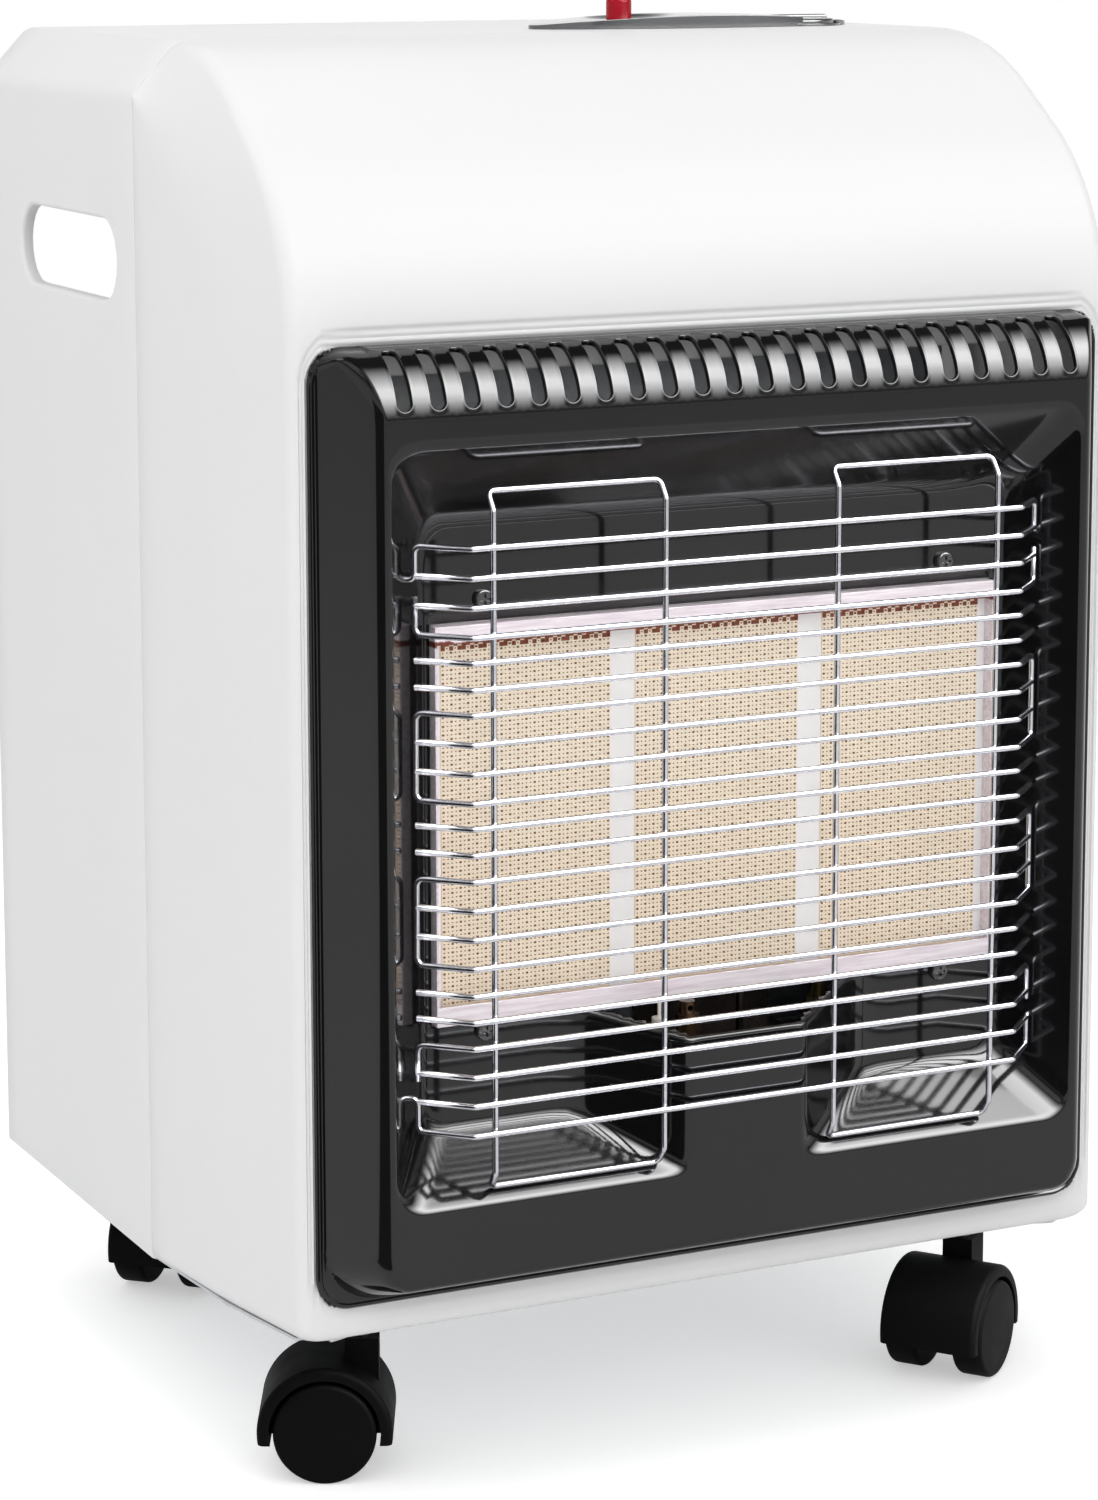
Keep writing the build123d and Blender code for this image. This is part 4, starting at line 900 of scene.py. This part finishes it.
def vent_cells(start):
    """Curved top rim: one cell for each slot, with a turned lip."""
    stations = arc_stations()
    half, radius = VENT_PITCH / 2, VENT_WIDTH / 2
    shares = [index / END_STEPS for index in range(END_STEPS)]
    outer = [(half * share, 0.0) for share in shares] + [(half, a) for a in stations]
    outer += [(half * share, ARC_LENGTH) for share in shares[::-1]]
    turns = [math.pi / 4 * index / END_STEPS for index in range(1, 2 * END_STEPS + 1)]
    round_end = [(radius * math.cos(turn), radius * math.sin(turn)) for turn in turns]
    inner = [(x, STRAIGHT_START - a) for x, a in round_end[::-1]]
    inner += [(radius, a) for a in stations[END_STEPS:-END_STEPS]]
    inner += [(x, STRAIGHT_END + a) for x, a in round_end]
    outer, inner = (right + [(-x, a) for x, a in right[-2:0:-1]] for right in (outer, inner))
    layers = []
    for share in (0.0, 0.3, 0.6):
        pairs = zip(outer, inner)
        layers.append([(ox + (ix - ox) * share, oa + (ia - oa) * share, 0.0) for (ox, oa), (ix, ia) in pairs])
    for drawn_in, lift in SLOT_LIP:
        layer = []
        for x, a in inner:
            base = min(max(a, STRAIGHT_START), STRAIGHT_END)
            reach = math.hypot(x, a - base)
            factor = (reach - drawn_in) / reach
            layer.append((x * factor, base + (a - base) * factor, lift))
        layers.append(layer)
    points = []
    faces = []
    for slot in range(VENT_COUNT):
        middle = (slot - (VENT_COUNT - 1) / 2) * VENT_PITCH
        faces += ring_faces(len(layers), len(outer), start + len(points))
        for x, a, lift in (spot for layer in layers for spot in layer):
            angle, reach = a / PANEL_DEPTH, PANEL_DEPTH + lift
            points.append((middle + x, -reach * math.cos(angle), RIDGE_TOP + reach * math.sin(angle)))
    return points, faces


# ---- ceramic plaques
PLAQUE_HALF = 35.3
PLAQUE_BOTTOM = 124.5
PLAQUE_TOP = 265.5
PLAQUE_DEPTH = 13.0
PLAQUE_PLACES = {"left": -81.5, "centre": 0.0, "right": 81.5}
HOLE_X = 1.74
HOLE_Z = 1.64
WIDE_HOLE = (0.48, 0.38)
SMALL_HOLE = (0.29, 0.22)
# Depth of a hole's rim and of its floor, each with its size as a share of the hole's.
HOLE_DEPTHS = ((0.12, 1.0), (0.9, 0.8))
SCORCHED_ROWS = 2
TILE, PORE, SCORCHED = range(3)


def make_plaque_mesh():
    """A ceramic tile whose face is pierced by rows of small square holes."""
    columns = round(2 * PLAQUE_HALF / HOLE_X)
    rows = round((PLAQUE_TOP - PLAQUE_BOTTOM) / HOLE_Z)
    step_x = 2 * PLAQUE_HALF / columns
    step_z = (PLAQUE_TOP - PLAQUE_BOTTOM) / rows
    points = [
        (-PLAQUE_HALF + column * step_x, 0.0, PLAQUE_BOTTOM + row * step_z)
        for row in range(rows + 1) for column in range(columns + 1)
    ]
    faces = []
    marks = []
    for row in range(rows):
        for column in range(columns):
            low = row * (columns + 1) + column
            outer = (low, low + 1, low + columns + 2, low + columns + 1)
            x = -PLAQUE_HALF + (column + 0.5) * step_x
            z = PLAQUE_BOTTOM + (row + 0.5) * step_z
            wide = (column + 2 * (row % 2)) % 4 == 0
            scorched = row >= rows - SCORCHED_ROWS and (7 * column + 3 * row) % 5 < 3
            half_x, half_z = WIDE_HOLE if wide else SMALL_HOLE
            ring = len(points)
            for depth, shrink in HOLE_DEPTHS:
                for a, b in ((-1, -1), (1, -1), (1, 1), (-1, 1)):
                    points.append((x + a * half_x * shrink, depth, z + b * half_z * shrink))
            for side in range(4):
                after = (side + 1) % 4
                faces.append((outer[side], outer[after], ring + after, ring + side))
                faces.append((ring + side, ring + after, ring + 4 + after, ring + 4 + side))
                marks += [SCORCHED if scorched else TILE, PORE]
            faces.append((ring + 4, ring + 5, ring + 6, ring + 7))
            marks.append(PORE)
    back = len(points)
    for y in (0.0, PLAQUE_DEPTH):
        for side, z in ((-1, PLAQUE_BOTTOM), (1, PLAQUE_BOTTOM), (1, PLAQUE_TOP), (-1, PLAQUE_TOP)):
            points.append((side * PLAQUE_HALF, y, z))
    faces += [(back + a, back + (a + 1) % 4, back + 4 + (a + 1) % 4, back + 4 + a) for a in range(4)]
    faces.append((back + 7, back + 6, back + 5, back + 4))
    marks += [TILE] * 5
    mesh = mesh_from("ceramic_plaque_tile", points, faces, smooth=False)
    for look in ("ceramic", "ceramic_pore", "scorched_ceramic"):
        mesh.materials.append(LOOKS[look])
    mesh.polygons.foreach_set("material_index", marks)
    return mesh


# ---- wire guard
WIRE_RADIUS = 1.2
WIRE_SIDES = 14
BAR_Y = -30.0
BAR_HALF = 117.5
BAR_RETURN = 16.0
BAR_BEND = 3.0
HOOK_BEND = 2.5
HOOK_DROP = 12.5
HOOK_REACH = 8.0
TAB_RISE = 14.0
LOOP_HEIGHTS = ((243, 210), (180.5, 147.5))
PLAIN_HEIGHTS = (294, 283, 262.5, 252.5, 232, 221, 200.5, 190.5, 169.5, 158.5, 137, 127, 106, 95)
HOOK_HEIGHTS = ((305, -1), (83.5, 1))
TAB_HEIGHTS = ((272, 1), (117, -1))
UPRIGHT_Y = BAR_Y + 2 * WIRE_RADIUS - 0.15
UPRIGHT_LEAN = 5.0
UPRIGHT_TURN = 6.5
UPRIGHT_BEND = 2.8
UPRIGHT_INNER = 37.0
UPRIGHT_OUTER = 108.0
UPRIGHT_BOTTOM = 61.0
UPRIGHT_TOP = 325.0


def wire(path, bend, closed=False):
    """Points and faces of a wire bent along a path."""
    path = rounded_path(path, bend, closed)
    count = len(path)
    points = []
    side_way = None
    for index in range(count):
        before = path[index - 1] if closed or index > 0 else path[0]
        after = path[(index + 1) % count] if closed or index < count - 1 else path[-1]
        along = (after - before).normalized()
        if side_way is None:
            helper = Vector((0, 0, 1)) if abs(along.z) < 0.9 else Vector((1, 0, 0))
            side_way = along.cross(helper).normalized()
        side_way = (side_way - along * side_way.dot(along)).normalized()
        up_way = along.cross(side_way)
        for side in range(WIRE_SIDES):
            angle = math.tau * side / WIRE_SIDES
            points.append(path[index] + (side_way * math.cos(angle) + up_way * math.sin(angle)) * WIRE_RADIUS)
    faces = []
    pairs = [(side, (side + 1) % WIRE_SIDES) for side in range(WIRE_SIDES)]
    for index in range(count if closed else count - 1):
        low, high = index * WIRE_SIDES, (index + 1) % count * WIRE_SIDES
        faces += [(low + side, low + after, high + after, high + side) for side, after in pairs]
    if not closed:
        for end, way in ((0, path[0] - path[1]), (count - 1, path[-1] - path[-2])):
            tip = way.normalized() * WIRE_RADIUS * 0.3
            ring = range(end * WIRE_SIDES, (end + 1) * WIRE_SIDES)
            domed = len(points)
            points += [path[end] + (points[item] - path[end]) * 0.7 + tip for item in ring]
            faces += [(ring[side], ring[after], domed + after, domed + side) for side, after in pairs]
            faces.append(tuple(range(domed, domed + WIRE_SIDES)))
    return points, faces


def gather(parts):
    points = []
    faces = []
    for some_points, some_faces in parts:
        start = len(points)
        points += some_points
        faces += [tuple(item + start for item in face) for face in some_faces]
    return points, faces


def both_ways(points):
    """The right-hand end of a path, joined straight across to its mirror image."""
    return [Vector((-x, y, z)) for x, y, z in reversed(points)] + [Vector(point) for point in points]


def bar_points(height):
    """The right-hand end of a guard bar."""
    return [(BAR_HALF, BAR_Y, height), (BAR_HALF + BAR_RETURN, BAR_Y + BAR_RETURN, height)]


def make_bars():
    end_x, end_y = bar_points(0.0)[-1][:2]
    run, rise = PANEL_DEPTH - 1.0, RECESS_HALF - PAN_HALF
    hook_x = end_x + HOOK_REACH * run / math.hypot(run, rise)
    hook_y = end_y + HOOK_REACH * rise / math.hypot(run, rise)
    parts = [wire(both_ways(bar_points(height)), BAR_BEND) for height in PLAIN_HEIGHTS]
    for top, bottom in LOOP_HEIGHTS:
        loop = both_ways(bar_points(top)) + both_ways(bar_points(bottom))[::-1]
        parts.append(wire(loop, BAR_BEND, closed=True))
    for height, way in HOOK_HEIGHTS:
        entry = height + way * HOOK_DROP
        extra = [(end_x, end_y, entry), (hook_x, hook_y, entry)]
        parts.append(wire(both_ways(bar_points(height) + extra), HOOK_BEND))
    for height, way in TAB_HEIGHTS:
        extra = [(end_x, end_y, height + way * TAB_RISE)]
        parts.append(wire(both_ways(bar_points(height) + extra), BAR_BEND))
    add_piece("guard_bars", mesh_from("guard_bars_wire", *gather(parts)))


def make_uprights():
    lean = UPRIGHT_Y + UPRIGHT_LEAN
    parts = []
    for side in (-1, 1):
        path = []
        for x, start, end, turn in (
            (side * UPRIGHT_OUTER, UPRIGHT_BOTTOM, UPRIGHT_TOP, UPRIGHT_TURN),
            (side * UPRIGHT_INNER, UPRIGHT_TOP, UPRIGHT_BOTTOM, -UPRIGHT_TURN),
        ):
            path += [(x, lean, start), (x, UPRIGHT_Y, start + turn)]
            path += [(x, UPRIGHT_Y, end - turn), (x, lean, end)]
        parts.append(wire(path, UPRIGHT_BEND, closed=True))
    add_piece("guard_uprights", mesh_from("guard_uprights_wire", *gather(parts)))


# ---- pieces
def make_burner_frame():
    """The stainless surround, with its slim top strip just over the plaques."""
    piece = refined("burner_frame", 0.25)
    for vertex in piece.data.vertices:
        height = vertex.co.z * 1000 - LIFT_Z
        if CAD_STRIP_BOTTOM - 0.01 < height < CAD_STRIP_TOP + 0.01:
            share = (height - CAD_STRIP_BOTTOM) / (CAD_STRIP_TOP - CAD_STRIP_BOTTOM)
            vertex.co.z = (STRIP_BOTTOM + (STRIP_TOP - STRIP_BOTTOM) * share + LIFT_Z) / 1000


def make_plaques():
    mesh = make_plaque_mesh()
    for name, x in PLAQUE_PLACES.items():
        add_piece("ceramic_plaque_" + name, mesh).location.x = x / 1000


add_sheet("front_cover", make_cover_mesh(), SHEET, 50)
make_wrap()
add_sheet("front_panel", make_panel_mesh(), PANEL_SHEET, 55)
make_plaques()
make_bars()
make_uprights()
make_burner_frame()
for node in frame["nodes"]:
    if node not in DRESSED:
        refined(node)

# ---- studio
FLOOR_LIFT = 0.42
FLOOR_SHINE = 0.12
FLOOR_HALF = 6
AMBIENT = 0.67
SKY_SHINE = (0.16, 0.40)
WHITE_LIGHT = (1, 1, 1, 1)
MIDDLE_Z = 0.3
MIDDLE = Vector((0, -0.1, MIDDLE_Z))
# Name, azimuth, elevation, distance, side, brightness, and whether it shows in gloss.
LAMPS = (
    ("key_light", -28, 38, 2.8, 1.7, 1.2, True),
    ("fill_light", 28, 14, 2.8, 1.6, 1.2, False),
    ("side_light", -80, 45, 2.6, 1.6, 1.15, True),
    ("top_light", 0, 84, 2.6, 1.8, 1.25, False),
)
scene = bpy.context.scene
scene.view_settings.view_transform = "Standard"


def around(azimuth, elevation, distance):
    """A place round the heater; azimuth 0 is in front and grows to the right."""
    turn, rise = math.radians(azimuth), math.radians(elevation)
    flat = distance * math.cos(rise)
    return Vector((flat * math.sin(turn), -flat * math.cos(turn), MIDDLE_Z + distance * math.sin(rise)))


def ray_kinds(tree):
    """Two factors: the camera sees it, straight or through glass; a reflection sees it."""
    rays = add_node(tree, "LightPath", {}).outputs
    seen = math_node(tree, "MAXIMUM", rays["Is Camera Ray"], rays["Is Transmission Ray"])
    return seen, rays["Is Glossy Ray"]


def rectangle(half_x, half_y):
    return [(-half_x, -half_y, 0), (half_x, -half_y, 0), (half_x, half_y, 0), (-half_x, half_y, 0)]


def add_stage(name, look, corners):
    mesh = bpy.data.meshes.new(name)
    mesh.from_pydata(corners, [], [(0, 1, 2, 3)])
    mesh.materials.append(LOOKS[look])
    sheet = bpy.data.objects.new(name, mesh)
    scene.collection.objects.link(sheet)
    return sheet


def add_floor():
    """Pale floor that keeps the shadow and meets the camera and reflections as white."""
    tree, shader = start_material("stage_floor")
    seen, glossy = ray_kinds(tree)
    lift = math_node(tree, "MULTIPLY", seen, FLOOR_LIFT)
    shine = math_node(tree, "MULTIPLY", glossy, FLOOR_SHINE)
    fill(shader, {
        "Base Color": (0.90, 0.90, 0.90, 1),
        "Roughness": 0.9,
        "Specular IOR Level": 0.1,
        "Emission Color": WHITE_LIGHT,
        "Emission Strength": math_node(tree, "ADD", lift, shine),
    })
    add_stage("studio_floor", "stage_floor", rectangle(FLOOR_HALF, FLOOR_HALF))


def softbox(name, spot, side, brightness, in_gloss):
    """A square studio lamp that faces the heater."""
    lamp = bpy.data.lights.new(name, "AREA")
    lamp.shape = "RECTANGLE"
    lamp.size = lamp.size_y = side
    lamp.energy = brightness * math.pi * side * side
    holder = bpy.data.objects.new(name, lamp)
    holder.location = spot
    holder.rotation_euler = (MIDDLE - spot).to_track_quat("-Z", "Y").to_euler()
    holder.visible_camera = False
    holder.visible_glossy = in_gloss
    scene.collection.objects.link(holder)


def only_in_reflections(card):
    """Hides a card from everything but mirror-like rays."""
    card.visible_camera = card.visible_diffuse = card.visible_shadow = card.visible_transmission = False


def shine_card(name, spot, half_x, half_y, brightness, soft=(0.3, 0.3)):
    """A glowing card with faded edges that gives gloss its highlights and lights nothing else."""
    tree, shader = start_material(name)
    across = axes(tree, "Generated")
    fades = []
    for axis, width in zip("XY", soft):
        near = ranged(tree, across[axis], 0.0, 1.0, 0.0, width)
        far = ranged(tree, across[axis], 1.0, 0.0, 1.0 - width, 1.0)
        fades.append(math_node(tree, "MULTIPLY", near, far))
    fade = math_node(tree, "POWER", math_node(tree, "MULTIPLY", *fades), 1.6)
    fill(shader, {
        "Base Color": (0, 0, 0, 1),
        "Specular IOR Level": 0.0,
        "Emission Color": WHITE_LIGHT,
        "Emission Strength": math_node(tree, "MULTIPLY", fade, brightness),
    })
    card = add_stage(name, name, rectangle(half_x, half_y))
    card.location = spot
    card.rotation_euler = (MIDDLE - spot).to_track_quat("Z", "Y").to_euler()
    only_in_reflections(card)


def add_flag(start, stop, near, far, height):
    """Dark cloth, on the floor and upright behind: only reflections meet it, as the enamel's black edges."""
    shader = start_material("stage_flag")[1]
    fill(shader, {"Base Color": (0.01, 0.01, 0.01, 1), "Roughness": 0.9, "Specular IOR Level": 0.0})
    low = [Vector((*around(azimuth, 0, near).xy, 0.003)) for azimuth in (start, stop)]
    back = [Vector((*around(azimuth, 0, far).xy, 0.003)) for azimuth in (stop, start)]
    rise = Vector((0, 0, height))
    for corners in (low + back, [back[1], back[0], back[0] + rise, back[1] + rise]):
        only_in_reflections(add_stage("stage_flag", "stage_flag", corners))


def make_world():
    """White to the camera, softer to gloss and darker towards the top, and a plain level for the rest."""
    world = bpy.data.worlds.new("studio_world")
    scene.world = world
    world.use_nodes = True
    sky = world.node_tree
    seen, glossy = ray_kinds(sky)
    shine = ranged(sky, axes(sky, "Generated")["Z"], 0.95, 0.04, *SKY_SHINE)
    mirrored_part = math_node(sky, "MULTIPLY", glossy, shine)
    spread = math_node(sky, "SUBTRACT", 1.0, math_node(sky, "MAXIMUM", seen, glossy))
    ambient = math_node(sky, "MULTIPLY", spread, AMBIENT)
    strength = math_node(sky, "ADD", seen, math_node(sky, "ADD", mirrored_part, ambient))
    fill(sky.nodes["Background"], {"Color": WHITE_LIGHT, "Strength": strength})


add_floor()
for name, azimuth, elevation, distance, *settings in LAMPS:
    softbox(name, around(azimuth, elevation, distance), *settings)
shine_card("front_shine", around(26, 40, 1.8), 1.6, 1.5, 22.0, (0.3, 0.45))
shine_card("left_shine", around(-110, 52, 1.7), 0.9, 0.45, 3.0)
add_flag(-70, -24, 0.42, 1.15, 0.45)
make_world()

# ---- camera
LENS_PIXELS = 4102.7
LONG_SIDE = 1500
CAMERA_SPOT = (-0.73422, -1.50567, 0.60155)
YAW, PITCH, ROLL = 0.45194, 0.15642, -0.0015
camera_data = bpy.data.cameras.new("camera")
camera_data.sensor_width = 36.0
camera_data.lens = LENS_PIXELS / LONG_SIDE * camera_data.sensor_width
camera_data.shift_x = -0.0039
camera_data.shift_y = -0.134
camera_data.clip_start = 0.05
camera = bpy.data.objects.new("camera", camera_data)
forward = Vector((math.sin(YAW) * math.cos(PITCH), math.cos(YAW) * math.cos(PITCH), -math.sin(PITCH)))
turn = forward.to_track_quat("-Z", "Y").to_matrix() @ Matrix.Rotation(ROLL, 3, "Z")
camera.matrix_world = Matrix.Translation(CAMERA_SPOT) @ turn.to_4x4()
scene.collection.objects.link(camera)
scene.camera = camera
